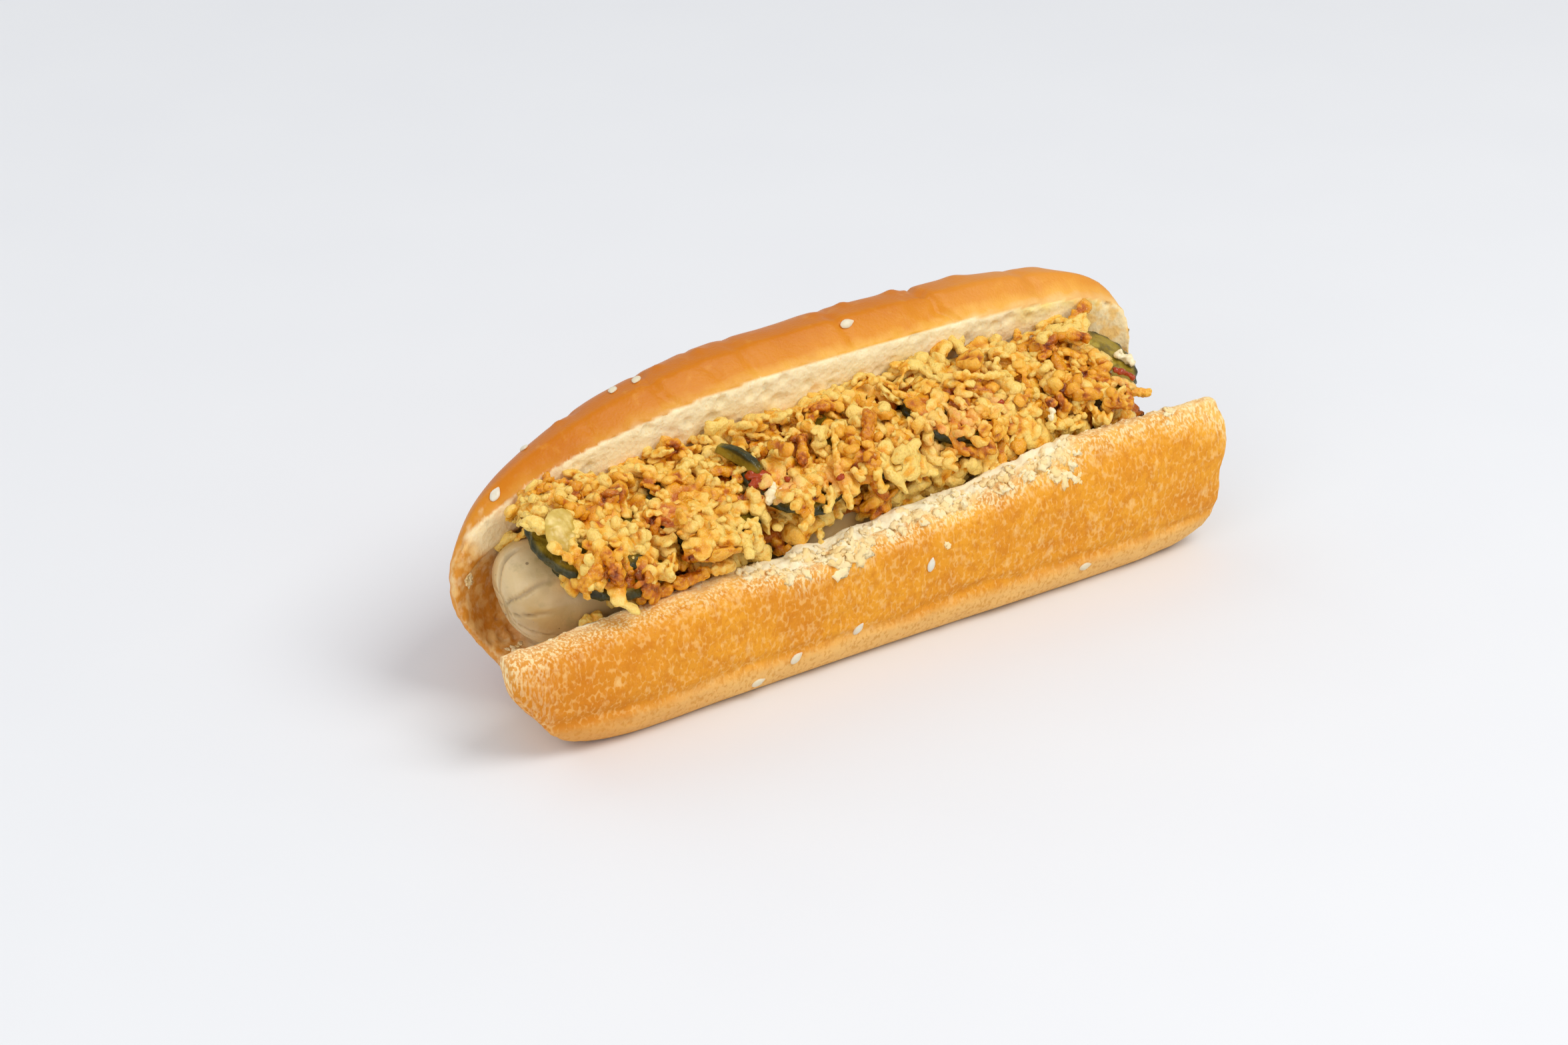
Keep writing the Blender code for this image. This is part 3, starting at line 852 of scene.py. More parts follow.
def makePickleEnd(look):
    # the cut end keeps its flat sides and its hard edges
    end = copyOfNode("pickle_strip", "pickle_end")
    width = pickleShape["endBevel"]
    applyModifier(end, "BEVEL", width=width, segments=2, limit_method="ANGLE")
    remesh(end, pickleShape["endVoxel"], 3)
    points, normals = pointsOf(end), normalsOf(end)
    middle, (long, _, _) = axesOf(points)
    along = ((points - middle) @ long)[:, None] * long
    points = middle + along + (points - middle - along) * pickleShape["endThickness"]
    lift = 0.22 * mm * noiseAt(points, 2.5 * mm) + 0.1 * mm * noiseAt(points, 0.9 * mm, 3.0)
    shift = np.array(pickleShape["shifts"]["pickle_strip"]) * mm
    movePoints(end, points + shift + normals * lift[:, None])
    upper = ((points - middle - along) @ np.array(up)) + 0.2 * mm * noiseAt(points, 2 * mm)
    setAttribute(end, "rim", 0.1 + 0.9 * smoothStep(upper, 0.4 * mm, 1.1 * mm))
    setAttribute(end, "core", np.zeros(len(points)))
    finishPiece(end, look, "pickle", "pickle_strip")


def pickleLook():
    look = Look("pickled cucumber")
    rim, core = look.attribute("rim"), look.attribute("core")
    cloud = look.between(look.noise(3.5 * mm, detail=3.0), 0.35, 0.65)
    flesh = look.mix((0.15, 0.098, 0.006), (0.36, 0.245, 0.02), cloud)
    seedy = core * look.between(look.cells(2.4 * mm), 0.2, 0.5, 1.0, 0.0)
    flesh = look.mix(flesh, (0.50, 0.38, 0.05), seedy * 0.8)
    mottle = look.noise(1.2 * mm, detail=3.0)
    skin = look.mix((0.010, 0.011, 0.003), (0.070, 0.066, 0.018), mottle)
    return look.surface(
        Base_Color=look.mix(flesh, skin, rim),
        Roughness=look.between(cloud, 0.0, 1.0, 0.12, 0.26),
        Normal=look.bump(look.noise(1.1 * mm, detail=3.0), 0.35 * mm),
        Specular_IOR_Level=0.3,
        soft=(0.15, (0.6, 0.5, 0.1), 1.5 * mm),
    )


def makePickles():
    look = pickleLook()
    slices = sorted(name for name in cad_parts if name.startswith("pickle_slice"))
    for k, node in enumerate(slices, 1):
        makePickle(node, f"pickle_round_{k}", look)
    makePickleEnd(look)
    makePaleFlake()
    print("pickles made")


def makePaleFlake():
    flake = copyOfNode("pale_flake", "pale_onion_flake")
    subdivide(flake, 3)
    points, normals = pointsOf(flake), normalsOf(flake)
    middle = points.mean(axis=0)
    degrees = pickleShape["flakeTurn"]
    turn = np.array(Matrix.Rotation(math.radians(degrees), 3, towardsCamera))
    points = middle + (points - middle) @ turn.T * pickleShape["flakeGrowth"]
    normals = normals @ turn.T
    points += np.array(pickleShape["flakeShift"])
    lift = 0.45 * mm * noiseAt(points, 2.6 * mm) + 0.2 * mm * noiseAt(points, 1.1 * mm, 3.0)
    movePoints(flake, points + normals * lift[:, None])
    finishPiece(flake, flakeLook(), "pale_flake", "pale_flake")


def flakeLook():
    look = Look("pale flake")
    cloud = look.noise(2.5 * mm, detail=3.0)
    colour = look.mix((0.58, 0.38, 0.05), (0.78, 0.58, 0.17), look.between(cloud, 0.35, 0.7))
    return look.surface(
        Base_Color=colour,
        Roughness=0.35,
        Normal=look.bump(look.noise(0.8 * mm, detail=3.0), 0.1 * mm),
        soft=(0.4, (1.0, 0.9, 0.5), 0.8 * mm),
    )


# fried onions

onionShape = {
    "seed": 11,
    "coreSink": 2.6 * mm,
    "coreVoxel": 0.8 * mm,
    "tries": 14000,
    "openSide": (34, 170),  # the part round the sausage that they can lie on, in degrees
    "rightEnd": 68.5 * mm,
    "sizes": (0.85, 1.42),
    "tilt": 27.0,  # in degrees
    "unevenHeight": (-0.4, 0.5),  # in mm
    "overPickle": 0.9,  # the least height over a slice, in mm
    "openMargin": 1.7,  # left free round an opening, in mm
    "openDepth": 2.5 * mm,  # how far behind an opening's place it reaches
    "brown": 0.54,
    "stainBrown": 1.2,
    "stainYellow": 0.25,
}
bitShape = {
    "resolution": 0.27,
    "threshold": 0.25,
    "roughness": (0.6, 0.28),  # large and small, in mm
    "faces": 220,
    "facesPerLump": 36,
}
# each layer's height over the heap and the space between its bits, in mm
onionLayers = (
    ("onion_bits_under", -1.9, 3.8),
    ("onion_bits_middle", -0.6, 4.1),
    ("onion_bits_top", 0.7, 5.3),
)
# kinds of bit: the lumps along it, their spacing and size in mm, how flat and bent it is, the
# lumps at its sides, how many are made, and its share of the heap
bitKinds = (
    dict(lumps=4, step=1.3, radius=2.2, flat=0.85, bend=1.2, side=4, made=9, share=4),
    dict(lumps=6, step=1.25, radius=1.85, flat=0.8, bend=2.4, side=3, made=12, share=5),
    dict(lumps=9, step=1.1, radius=1.4, flat=0.85, bend=3.4, side=2, made=9, share=5),
    dict(lumps=5, step=1.2, radius=2.4, flat=0.5, bend=1.5, side=4, made=8, share=2),
    dict(lumps=2, step=0.9, radius=1.7, flat=0.9, bend=0.5, side=2, made=5, share=0.5),
)
# where something under the onions shows, as seen from the front: a place and a width in mm
openings = (
    (-26.9, -3.9, 44.7, 0.9), (-24.4, -7.8, 42.6, 1.3), (-21.9, -11.6, 40.5, 0.9),
    (-75.5, -14.0, 39.8, 1.0), (-74.0, -17.5, 38.6, 1.0), (-71.0, -20.0, 37.6, 0.8),
    (-71.8, -15.4, 39.7, 2.4), (-63.5, -17.0, 27.5, 1.7), (-61.0, -21.5, 27.5, 1.2),
    (-46.8, -8.5, 39.8, 0.6), (-26.0, -18.5, 33.0, 1.2), (-24.0, -19.0, 29.5, 1.2),
    (-17.5, -21.0, 31.0, 2.3), (-12.5, -20.8, 31.5, 2.2), (-2.1, -17.6, 32.3, 2.1),
    (-8.0, -20.5, 35.0, 1.5), (-6.0, -20.5, 33.0, 1.6), (-6.9, -20.0, 30.3, 1.9),
    (-32.2, -23.2, 28.6, 1.9), (9.5, -18.5, 31.5, 2.3), (17.6, -18.6, 34.0, 1.8),
    (12.0, -8.3, 44.0, 0.6), (31.7, -4.5, 46.0, 0.2), (42.6, -16.0, 41.0, 0.1),
    (59.6, 1.9, 46.0, 0.5), (67.0, -5.0, 45.4, 1.3), (71.8, -9.5, 42.0, 2.0),
    (72.0, -14.5, 40.8, 1.6), (-23.1, -17.1, 38.1, 0.6), (-22.8, -13.0, 40.1, 1.4),
)
# where the onions are darker: a place, a reach in mm, and how much
brownPlaces = (
    (-68.8, -20.2, 37.0, 3.6, 0.30), (-69.7, -21.0, 33.3, 3.0, 0.30),
    (-64.4, -21.0, 38.8, 2.2, 0.55), (-64.6, -23.6, 35.6, 2.6, 0.70),
    (-61.5, -22.0, 32.0, 2.8, 0.80), (-57.8, -23.0, 33.4, 2.0, 0.60),
    (-49.5, -13.0, 38.2, 1.8, 0.90), (-55.3, -8.4, 43.4, 2.6, 0.60),
    (-58.8, -10.2, 42.5, 2.6, 0.55), (-46.7, -20.6, 30.8, 4.2, 0.35),
    (-34.8, 0.6, 45.2, 2.0, 0.80), (-40.0, -10.0, 43.0, 3.0, 0.30),
    (-30.5, -13.0, 41.5, 2.6, 0.35), (-17.3, -23.4, 35.7, 3.4, 0.30),
    (-9.9, -8.5, 43.2, 2.4, 0.75), (-13.0, -13.5, 41.6, 1.8, 0.65),
    (-1.7, -3.2, 45.7, 2.6, 0.65), (2.9, -3.9, 45.4, 2.4, 0.50),
    (-1.0, -20.5, 29.5, 3.4, 0.70), (2.4, -22.0, 28.5, 3.0, 0.55),
    (14.0, -14.0, 42.5, 2.6, 0.35), (29.0, -10.0, 45.0, 3.0, 0.30),
    (33.0, -20.0, 37.0, 3.4, 0.35), (50.4, -16.4, 39.0, 2.4, 0.85),
    (47.0, -17.3, 40.4, 1.7, 1.00), (62.0, -8.4, 47.9, 2.4, 0.50),
    (61.8, -20.5, 36.5, 2.8, 0.45), (66.0, -21.5, 35.6, 2.6, 0.35),
    (56.0, -6.0, 47.0, 3.0, 0.30),
)
# where they are stained red or pale yellow by the sauces
redPlaces = (
    (24.9, -17.4, 44.1, 5.0, 0.8), (20.0, -18.0, 40.5, 4.0, 0.8),
    (36.0, -14.4, 41.7, 3.0, 0.7), (-20.5, -16.5, 39.5, 4.0, 0.9),
    (-8.0, -18.5, 39.5, 3.0, 0.7), (-46.5, -16.0, 39.0, 3.0, 0.7),
    (68.5, -16.5, 41.2, 3.4, 0.9),
)
yellowPlaces = (
    (-33.1, -22.3, 35.1, 4.5, 1.0), (-21.2, -22.4, 36.1, 3.6, 1.0),
    (-22.0, -3.0, 46.0, 4.5, 0.9), (-73.0, -9.5, 43.4, 4.0, 0.8),
    (-8.0, -10.0, 44.0, 4.0, 0.6), (23.0, -2.0, 47.0, 5.0, 0.7),
    (47.0, -10.0, 45.0, 4.0, 0.5),
)


def makeBit(kind, chance, name):
    # lumps of batter along a curl, run together, in mm
    data = newLumps(name, bitShape["resolution"], bitShape["threshold"])
    places, place, heading = [], Vector((0, 0, 0)), 0.0
    turning = chance.uniform(0.3, 1.0) * kind["bend"] / kind["lumps"]
    for _ in range(kind["lumps"]):
        places.append(place.copy())
        heading += turning + chance.uniform(-0.3, 0.3)
        step = Vector((math.cos(heading), math.sin(heading), chance.uniform(-0.3, 0.3)))
        place += step * kind["step"] * chance.uniform(0.8, 1.2)
    for _ in range(kind["side"]):
        out = Vector((chance.gauss(0, 1), chance.gauss(0, 1), chance.gauss(0, 0.5))).normalized()
        places.append(chance.choice(places) + out * kind["radius"] * chance.uniform(0.6, 1.1))
    middle = sum(places, Vector()) / len(places)
    for place in places:
        lump = data.elements.new(type="ELLIPSOID")
        lump.co = place - middle
        lump.radius = kind["radius"] * chance.uniform(0.7, 1.1)
        lump.size_x, lump.size_y = chance.uniform(0.9, 1.5), chance.uniform(0.6, 1.0)
        lump.size_z = chance.uniform(0.5, 1.0)
        turn = (chance.gauss(0, 0.4), chance.gauss(0, 0.4), chance.uniform(0, math.tau))
        lump.rotation = Euler(turn).to_quaternion()
    bit = meshOfLumps(data, name)
    points, normals = pointsOf(bit), normalsOf(bit)
    shift = chance.uniform(0, 50)
    large, small = bitShape["roughness"]
    rough = large * noiseAt(points, 1.6, shift) + small * noiseAt(points, 0.75, shift)
    movePoints(bit, (points + normals * rough[:, None]) * np.array((mm, mm, kind["flat"] * mm)))
    wanted = bitShape["faces"] + bitShape["facesPerLump"] * kind["lumps"]
    applyModifier(bit, "DECIMATE", ratio=min(1.0, wanted / len(bit.data.polygons) / 2))
    # painted shade in the bit's hollows and painted light on its bumps
    setAttribute(bit, "hollow", hollowsOf(bit))
    return bit


def hollowsOf(piece):
    # how far each point lies under the points beside it, from 0 to 1, which the looks use for
    # painted shade in hollows and painted light on bumps
    points, normals = pointsOf(piece), normalsOf(piece)
    a, b = edgesOf(piece)
    count = np.bincount(np.concatenate((a, b)), minlength=len(points))
    under, around = np.zeros(len(points)), np.zeros(len(points))
    for here, there in ((a, b), (b, a)):
        np.add.at(under, here, ((points[there] - points[here]) * normals[here]).sum(axis=1))
    under /= count * mm
    for here, there in ((a, b), (b, a)):
        np.add.at(around, here, under[there])
    return np.clip(0.5 + 3.0 * (under + around / count) / 2, 0, 1)


def heapTree():
    # the heap and the pickles in it, as the surface that the onions lie on
    points, faces, names = [], [], []
    for name, node in sorted(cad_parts.items()):
        if name == "onion_heap" or name.startswith("pickle_slice"):
            start = len(points)
            points.extend(v.co.copy() for v in node.data.vertices)
            faces.extend([start + k for k in face.vertices] for face in node.data.polygons)
            names.extend([name] * len(node.data.polygons))
    return BVHTree.FromPolygons(points, faces), names


def heapPlaces(chance, tree, names):
    # random places on the heap's open side, each with the way that it faces
    low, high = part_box("onion_heap")
    for _ in range(onionShape["tries"]):
        turn = math.radians(chance.uniform(*onionShape["openSide"]))
        out = Vector((0, math.cos(turn), math.sin(turn)))
        axis = Vector((chance.uniform(low.x, high.x), sausageMiddle.y, sausageMiddle.z))
        place, facing, face, _ = tree.ray_cast(axis + out * 60 * mm, -out)
        if place:
            yield place, (0.6 * facing + 0.4 * out).normalized(), names[face] != "onion_heap"


def isOpen(place):
    # whether a bit here would cover an opening
    for *middle, width in openings:
        away = place - Vector(middle) * mm
        along = away.dot(towardsCamera)
        aside = (away - towardsCamera * along).length
        if along > -onionShape["openDepth"] and aside < (width + onionShape["openMargin"]) * mm:
            return True
    return False


def spacedPlaces(chance, spacing, tree, names):
    # of the random places, those that are this far from the ones before them
    taken = {}
    for place, facing, onPickle in heapPlaces(chance, tree, names):
        cells = [(int(c // spacing) - 1, int(c // spacing), int(c // spacing) + 1) for c in place]
        around = (other for cell in product(*cells) for other in taken.get(cell, ()))
        if all((place - other).length > spacing for other in around):
            taken.setdefault(tuple(cell[1] for cell in cells), []).append(place)
            yield place, facing, onPickle


def joinCopies(name, copies):
    # copies are (shape, matrix, tone), and each copy keeps its own tone
    points, faces, tones, hollows = [], [], [], []
    for shape, matrix, tone in copies:
        start = len(points)
        turned = [matrix @ v.co for v in shape.data.vertices]
        points.extend(turned)
        faces.extend([tuple(start + k for k in face.vertices) for face in shape.data.polygons])
        tones.extend([tone] * len(turned))
        hollows.extend(value.value for value in shape.data.attributes["hollow"].data)
    joined = newObject(name, bpy.data.meshes.new(name))
    joined.data.from_pydata(points, [], faces)
    setAttribute(joined, "tone", tones)
    setAttribute(joined, "hollow", hollows)
    return joined


def stainOnions(bits):
    # browned, reddened and yellowed in places
    points = pointsOf(bits)
    tone = attributeOf(bits, "tone") + onionShape["stainBrown"] * nearAny(points, brownPlaces)
    tone -= onionShape["stainYellow"] * nearAny(points, yellowPlaces)
    bits.data.attributes["tone"].data.foreach_set("value", np.clip(tone, -0.3, 1.0))
    setAttribute(bits, "red", nearAny(points, redPlaces))


def placedAt(place, facing, spin, tilt, size):
    base = facing.to_track_quat("Z", "Y").to_matrix()
    turned = base @ Matrix.Rotation(spin, 3, "Z") @ Matrix.Rotation(tilt, 3, "X")
    return Matrix.LocRotScale(place, turned.to_quaternion(), Vector((size, size, size)))


def makeOnions():
    chance = random.Random(onionShape["seed"])
    shapes, shares = [], []
    for k, kind in enumerate(bitKinds):
        for n in range(kind["made"]):
            shapes.append(makeBit(kind, chance, f"bit_{k}_{n}"))
            shares.append(kind["share"] / kind["made"])
    tree, names = heapTree()
    look = onionLook()
    for name, height, spacing in onionLayers:
        copies = []
        for place, facing, onPickle in spacedPlaces(chance, spacing * mm, tree, names):
            lift = max(height, onionShape["overPickle"]) if onPickle else height
            lift += chance.uniform(*onionShape["unevenHeight"])
            middle = place + facing * lift * mm
            if isOpen(middle) or middle.x > onionShape["rightEnd"]:
                continue
            # a random browning, and a darker tone for lower layers: painted shade deeper in the
            # heap
            tone = onionShape["brown"] * chance.random() ** 1.8 - 0.06 * height
            shape = chance.choices(shapes, shares)[0]
            spin = chance.uniform(0, math.tau)
            tilt = math.radians(chance.gauss(0, onionShape["tilt"]))
            matrix = placedAt(middle, facing, spin, tilt, chance.uniform(*onionShape["sizes"]))
            copies.append((shape, matrix, tone))
        bits = joinCopies(name, copies)
        stainOnions(bits)
        finishPiece(bits, look, "fried_onion")
        print(name, len(copies), "bits,", len(bits.data.polygons), "faces")
    for shape in shapes:
        bpy.data.objects.remove(shape)
    makeSingleBits(look)
    makeOnionCore(look)


def makeOnionCore(look):
    # what shows between the bits: the heap itself, sunk a little under them, in a dark tone that is
    # painted shade in the gaps
    core = copyOfNode("onion_heap", "onion_core")
    remesh(core, onionShape["coreVoxel"], 4)
    points, normals = pointsOf(core), normalsOf(core)
    lift = -onionShape["coreSink"] + 0.7 * mm * noiseAt(points, 2.4 * mm)
    outer = smoothStep((normals * outwards(points, sausageMiddle)).sum(axis=1), -0.2, 0.3)
    movePoints(core, points + normals * (lift * outer)[:, None])
    # a browned tone: painted shade between the bits
    for name, value in (("tone", 0.5), ("hollow", 0.5), ("red", 0.0)):
        setAttribute(core, name, np.full(len(points), value))
    finishPiece(core, look, "fried_onion", "onion_heap")
    print("onion core made:", len(core.data.polygons), "faces")


def onionLook():
    look = Look("fried onion")
    tone, hollow = look.attribute("tone"), look.attribute("hollow")
    cloud = look.noise(2.4 * mm, detail=3.0)
    grain = look.noise(0.6 * mm, detail=3.0, roughness=0.6)
    # the tone is browning; the hollow term adds painted shade in the hollows and painted light on
    # the bumps
    colour = look.ramp(
        tone + (hollow - 0.5) * 0.75 + (cloud - 0.5) * 0.5 + 0.20,
        (0.0, (0.94, 0.65, 0.16)),
        (0.2, (0.92, 0.49, 0.055)),
        (0.42, (0.80, 0.33, 0.007)),
        (0.68, (0.54, 0.135, 0.002)),
        (1.0, (0.20, 0.030, 0.0015)),
    )
    reddened = look.attribute("red") * look.between(cloud, 0.35, 0.6)
    colour = look.layered(
        colour,
        ((0.78, 0.20, 0.06), reddened * 0.85),
        # pale specks of the grain: painted highlights
        ((0.98, 0.76, 0.32), look.between(grain, 0.56, 0.72) * 0.35),
        ((0.70, 0.23, 0.006), look.between(grain, 0.28, 0.42, 1.0, 0.0) * 0.35),
    )
    return look.surface(
        Base_Color=colour,
        Roughness=look.between(cloud, 0.3, 0.7, 0.18, 0.36),
        Normal=look.bump(grain + look.noise(1.1 * mm, detail=2.0) * 1.6, 0.26 * mm),
        Specular_IOR_Level=0.4,
        soft=(0.2, (1.0, 0.7, 0.4), 0.5 * mm),
    )


# bits with a shape of their own

# each has its thickness in mm and its tone, and then the places along it
singleBits = (
    # the upright flake, narrow at its top
    (
        1.5, 0.42, (5.6, -10.6, 45.6), (4.4, -12.0, 44.0), (3.0, -13.6, 42.0),
        (1.8, -15.2, 40.0), (0.6, -16.6, 38.0),
    ),
    (1.3, 0.40, (0.2, -14.6, 41.0), (-0.8, -15.6, 39.6)),
    # long strands
    (0.85, 0.0, (-2.2, -9.4, 45.2), (-3.4, -11.6, 43.8), (-5.2, -14.6, 41.8), (-6.6, -17.2, 39.8)),
    (0.9, 0.0, (-6.6, -17.2, 39.8), (-6.6, -19.4, 37.4), (-6.8, -21.6, 35.0), (-7.4, -23.0, 33.4)),
    (
        0.75, 0.2, (-46.0, -19.6, 37.4), (-42.0, -21.0, 36.4),
        (-38.5, -22.2, 35.4), (-36.0, -22.8, 34.8),
    ),
    (0.9, 0.0, (30.0, -7.5, 47.6), (33.5, -9.2, 47.0), (36.5, -10.2, 46.6), (40.0, -10.8, 46.4)),
    (0.95, 0.15, (69.0, -17.8, 37.6), (71.0, -18.8, 37.1), (72.8, -19.6, 36.9)),
    (
        1.1, -0.1, (-19.0, -20.0, 39.0), (-17.2, -21.4, 38.2), (-17.0, -22.8, 36.4),
        (-18.4, -24.0, 34.4), (-20.6, -24.6, 33.0),
    ),
    # yellow lumps on the slice at the left end
    (1.6, 0.0, (-74.0, -9.0, 43.6), (-72.8, -10.6, 43.2), (-73.2, -12.4, 42.4)),
    (1.5, 0.0, (-71.6, -7.6, 44.4), (-70.4, -8.6, 44.2)),
    # the orange lump and the browned strand at the left end
    (
        1.9, 0.12, (-69.4, -20.6, 38.0), (-68.0, -21.6, 36.8),
        (-69.0, -22.0, 35.2), (-70.0, -21.8, 33.6),
    ),
    (1.6, 0.12, (-66.6, -22.2, 36.6), (-67.2, -22.8, 34.8)),
    (
        1.3, 0.1, (-64.6, -21.6, 39.6), (-64.4, -23.2, 37.8), (-64.2, -24.2, 35.8),
        (-62.8, -23.6, 33.6), (-61.8, -22.8, 31.8),
    ),
    # lying on the sausage and along the rim
    (1.4, 0.0, (-67.4, -17.2, 22.6), (-65.4, -17.4, 23.2), (-63.6, -17.6, 24.2)),
    (1.4, 0.3, (-56.5, -21.6, 27.4), (-53.2, -22.2, 27.6), (-50.0, -22.4, 27.8)),
    (1.5, 0.2, (-48.4, -22.2, 28.2), (-44.4, -22.6, 28.6), (-41.6, -22.6, 29.0)),
    (1.4, 0.0, (-40.0, -22.8, 28.8), (-37.6, -23.0, 29.2), (-35.0, -23.0, 29.2)),
    # small browned ones
    (1.2, 0.2, (-9.4, -8.4, 44.4), (-10.4, -9.8, 43.2), (-11.8, -12.0, 42.2), (-13.2, -14.0, 41.6)),
    (1.0, 0.1, (-35.6, 0.8, 46.0), (-33.8, 0.2, 46.0)),
    (1.3, 0.1, (-2.6, -3.0, 46.6), (-0.4, -3.4, 46.6), (2.4, -4.2, 46.4)),
    (1.0, 0.1, (47.0, -17.8, 41.0), (47.4, -18.6, 40.2)),
    (1.2, 0.1, (50.2, -16.6, 41.0), (51.0, -17.6, 39.8), (51.4, -18.8, 38.2)),
    (1.2, 0.1, (60.4, -7.8, 48.8), (62.4, -8.4, 48.6), (64.0, -9.4, 47.8)),
    (1.3, 0.1, (60.4, -20.6, 38.2), (63.6, -21.2, 37.2), (66.6, -21.8, 36.4)),
)
singleShape = {
    "seed": 5,
    "resolution": 0.34,
    "threshold": 0.2,
    "wobble": 0.2,  # in mm
    "spacing": 0.7,  # of its lumps, for a thickness of 1
    "lumpSize": 1.25,
    "roughness": (0.45, 0.3),  # large and small, in mm
}


def makeSingleBits(look):
    chance = random.Random(singleShape["seed"])
    data = newLumps("single onion bits", singleShape["resolution"], singleShape["threshold"])
    wobble = singleShape["wobble"]
    lumps, tones = [], []
    for thickness, tone, *places in singleBits:
        path = [Vector(place) for place in places]
        for a, b in zip(path, path[1:]):
            steps = max(2, round((b - a).length / (singleShape["spacing"] * thickness)))
            for k in range(steps):
                lump = data.elements.new()
                aside = Vector([chance.uniform(-wobble, wobble) for _ in "xyz"])
                lump.co = a.lerp(b, k / steps) + aside
                lump.radius = singleShape["lumpSize"] * thickness * chance.uniform(0.8, 1.15)
                lumps.append(lump.co.copy())
                tones.append(tone)
    bits = meshOfLumps(data, "onion_bits_single")
    points, normals = pointsOf(bits), normalsOf(bits)
    large, small = singleShape["roughness"]
    rough = large * noiseAt(points, 1.5, 3.0) + small * noiseAt(points, 0.75, 3.0)
    tree = treeOf(lumps)
    movePoints(bits, (points + normals * rough[:, None]) * mm)
    setAttribute(bits, "tone", [tones[tree.find(place)[1]] for place in points.tolist()])
    # painted shade in the hollows and painted light on the bumps
    setAttribute(bits, "hollow", hollowsOf(bits))
    stainOnions(bits)
    finishPiece(bits, look, "fried_onion")
    print("single bits made:", len(bits.data.polygons), "faces")


# sauces

# drops of sauce: a place and a size in mm, run together
ketchupDrops = (
    (-24.2, -12.0, 41.2, 1.3), (-22.8, -12.8, 41.0, 1.5), (-21.6, -13.6, 40.6, 1.4),
    (-24.6, -13.8, 40.0, 1.3), (-25.4, -15.0, 38.8, 1.1), (-25.0, -16.2, 37.6, 1.0),
    (-23.4, -14.4, 39.8, 1.4), (-18.4, -16.2, 40.4, 0.9), (-7.7, -20.0, 39.6, 0.9),
    (36.1, -14.6, 41.7, 1.1), (35.0, -15.6, 41.3, 0.9), (37.4, -14.2, 41.6, 0.8),
    (66.4, -15.6, 42.3, 0.8), (67.0, -15.9, 42.0, 0.75), (67.6, -16.2, 41.8, 0.8),
    (68.3, -16.6, 41.4, 0.75), (69.0, -17.0, 41.0, 0.75), (69.6, -17.5, 40.6, 0.7),
)
mayonnaiseDrops = (
    (-21.8, -16.0, 39.6, 1.3), (-22.9, -17.4, 38.6, 1.4), (-24.2, -18.0, 37.8, 1.1),
    (-21.0, -17.4, 38.6, 1.2), (-1.6, -17.6, 36.6, 1.3), (-0.6, -17.8, 37.2, 1.0),
    (71.4, -10.4, 42.6, 1.3), (72.4, -11.8, 41.8, 1.3), (72.6, -13.2, 41.2, 1.0),
    (54.8, -16.0, 40.4, 1.2), (55.6, -16.6, 39.9, 0.9), (46.9, -18.8, 39.0, 1.0),
    (46.2, -19.4, 38.2, 1.0),
)
sauces = {
    "ketchup": {
        "drops": ketchupDrops,
        "colours": ((0.26, 0.016, 0.001), (0.52, 0.075, 0.004)),
        "clouds": 2 * mm,
        "relief": 0.2 * mm,
        "roughness": 0.22,
    },
    "mayonnaise": {
        "drops": mayonnaiseDrops,
        "colours": ((0.91, 0.74, 0.40), (0.96, 0.86, 0.60)),
        "clouds": 1.5 * mm,
        "relief": 0.15 * mm,
        "roughness": 0.3,
    },
}
sauceShape = {"resolution": 0.35, "threshold": 0.2, "growth": 1.08}


def makeSauces():
    for name, sauce in sauces.items():
        data = newLumps(name, sauceShape["resolution"], sauceShape["threshold"])
        for *place, size in sauce["drops"]:
            drop = data.elements.new()
            drop.co = place
            drop.radius = size * sauceShape["growth"]
        wet = meshOfLumps(data, name)
        points, normals = pointsOf(wet), normalsOf(wet)
        rough = 0.7 * noiseAt(points, 1.5) + 0.35 * noiseAt(points, 0.7, 2.0)
        movePoints(wet, (points + normals * rough[:, None]) * mm)
        look = Look(name)
        cloud = look.noise(sauce["clouds"], detail=2.0)
        colour = look.mix(*sauce["colours"], cloud)
        surface = look.surface(
            Base_Color=colour,
            Roughness=sauce["roughness"],
            Normal=look.bump(cloud, sauce["relief"]),
            Specular_IOR_Level=0.4,
        )
        finishPiece(wet, surface, "fried_onion")
    print("sauces made:", ", ".join(sauces))


# seeds and crumbs on the bun

# sesame seeds: a place on the bun and a turn in degrees
seedPlaces = (
    (-73.7, 5.5, 43.3, 70), (13.1, 8.7, 57.4, 10), (-41.4, 13.6, 54.9, 15),
    (-36.1, 12.9, 55.9, 5), (-64.0, 14.0, 50.0, 40), (49.5, -29.2, 5.8, 0),
    (8.7, -29.2, 18.5, 80), (-9.2, -29.2, 8.6, 60), (-24.5, -29.3, 6.7, 30),
    (-33.7, -28.7, 3.9, 10), (10.0, 27.0, 47.0, 30), (-28.0, 30.0, 36.0, 75),
    (44.0, 28.0, 44.0, 50), (-52.0, 24.0, 42.0, 15), (24.0, 31.0, 26.0, 65),
)
seedShape = {
    "size": (3.4 * mm, 2.0 * mm, 0.9 * mm),
    "taper": 0.45,  # towards the pointed end
    "lift": 0.15 * mm,
}


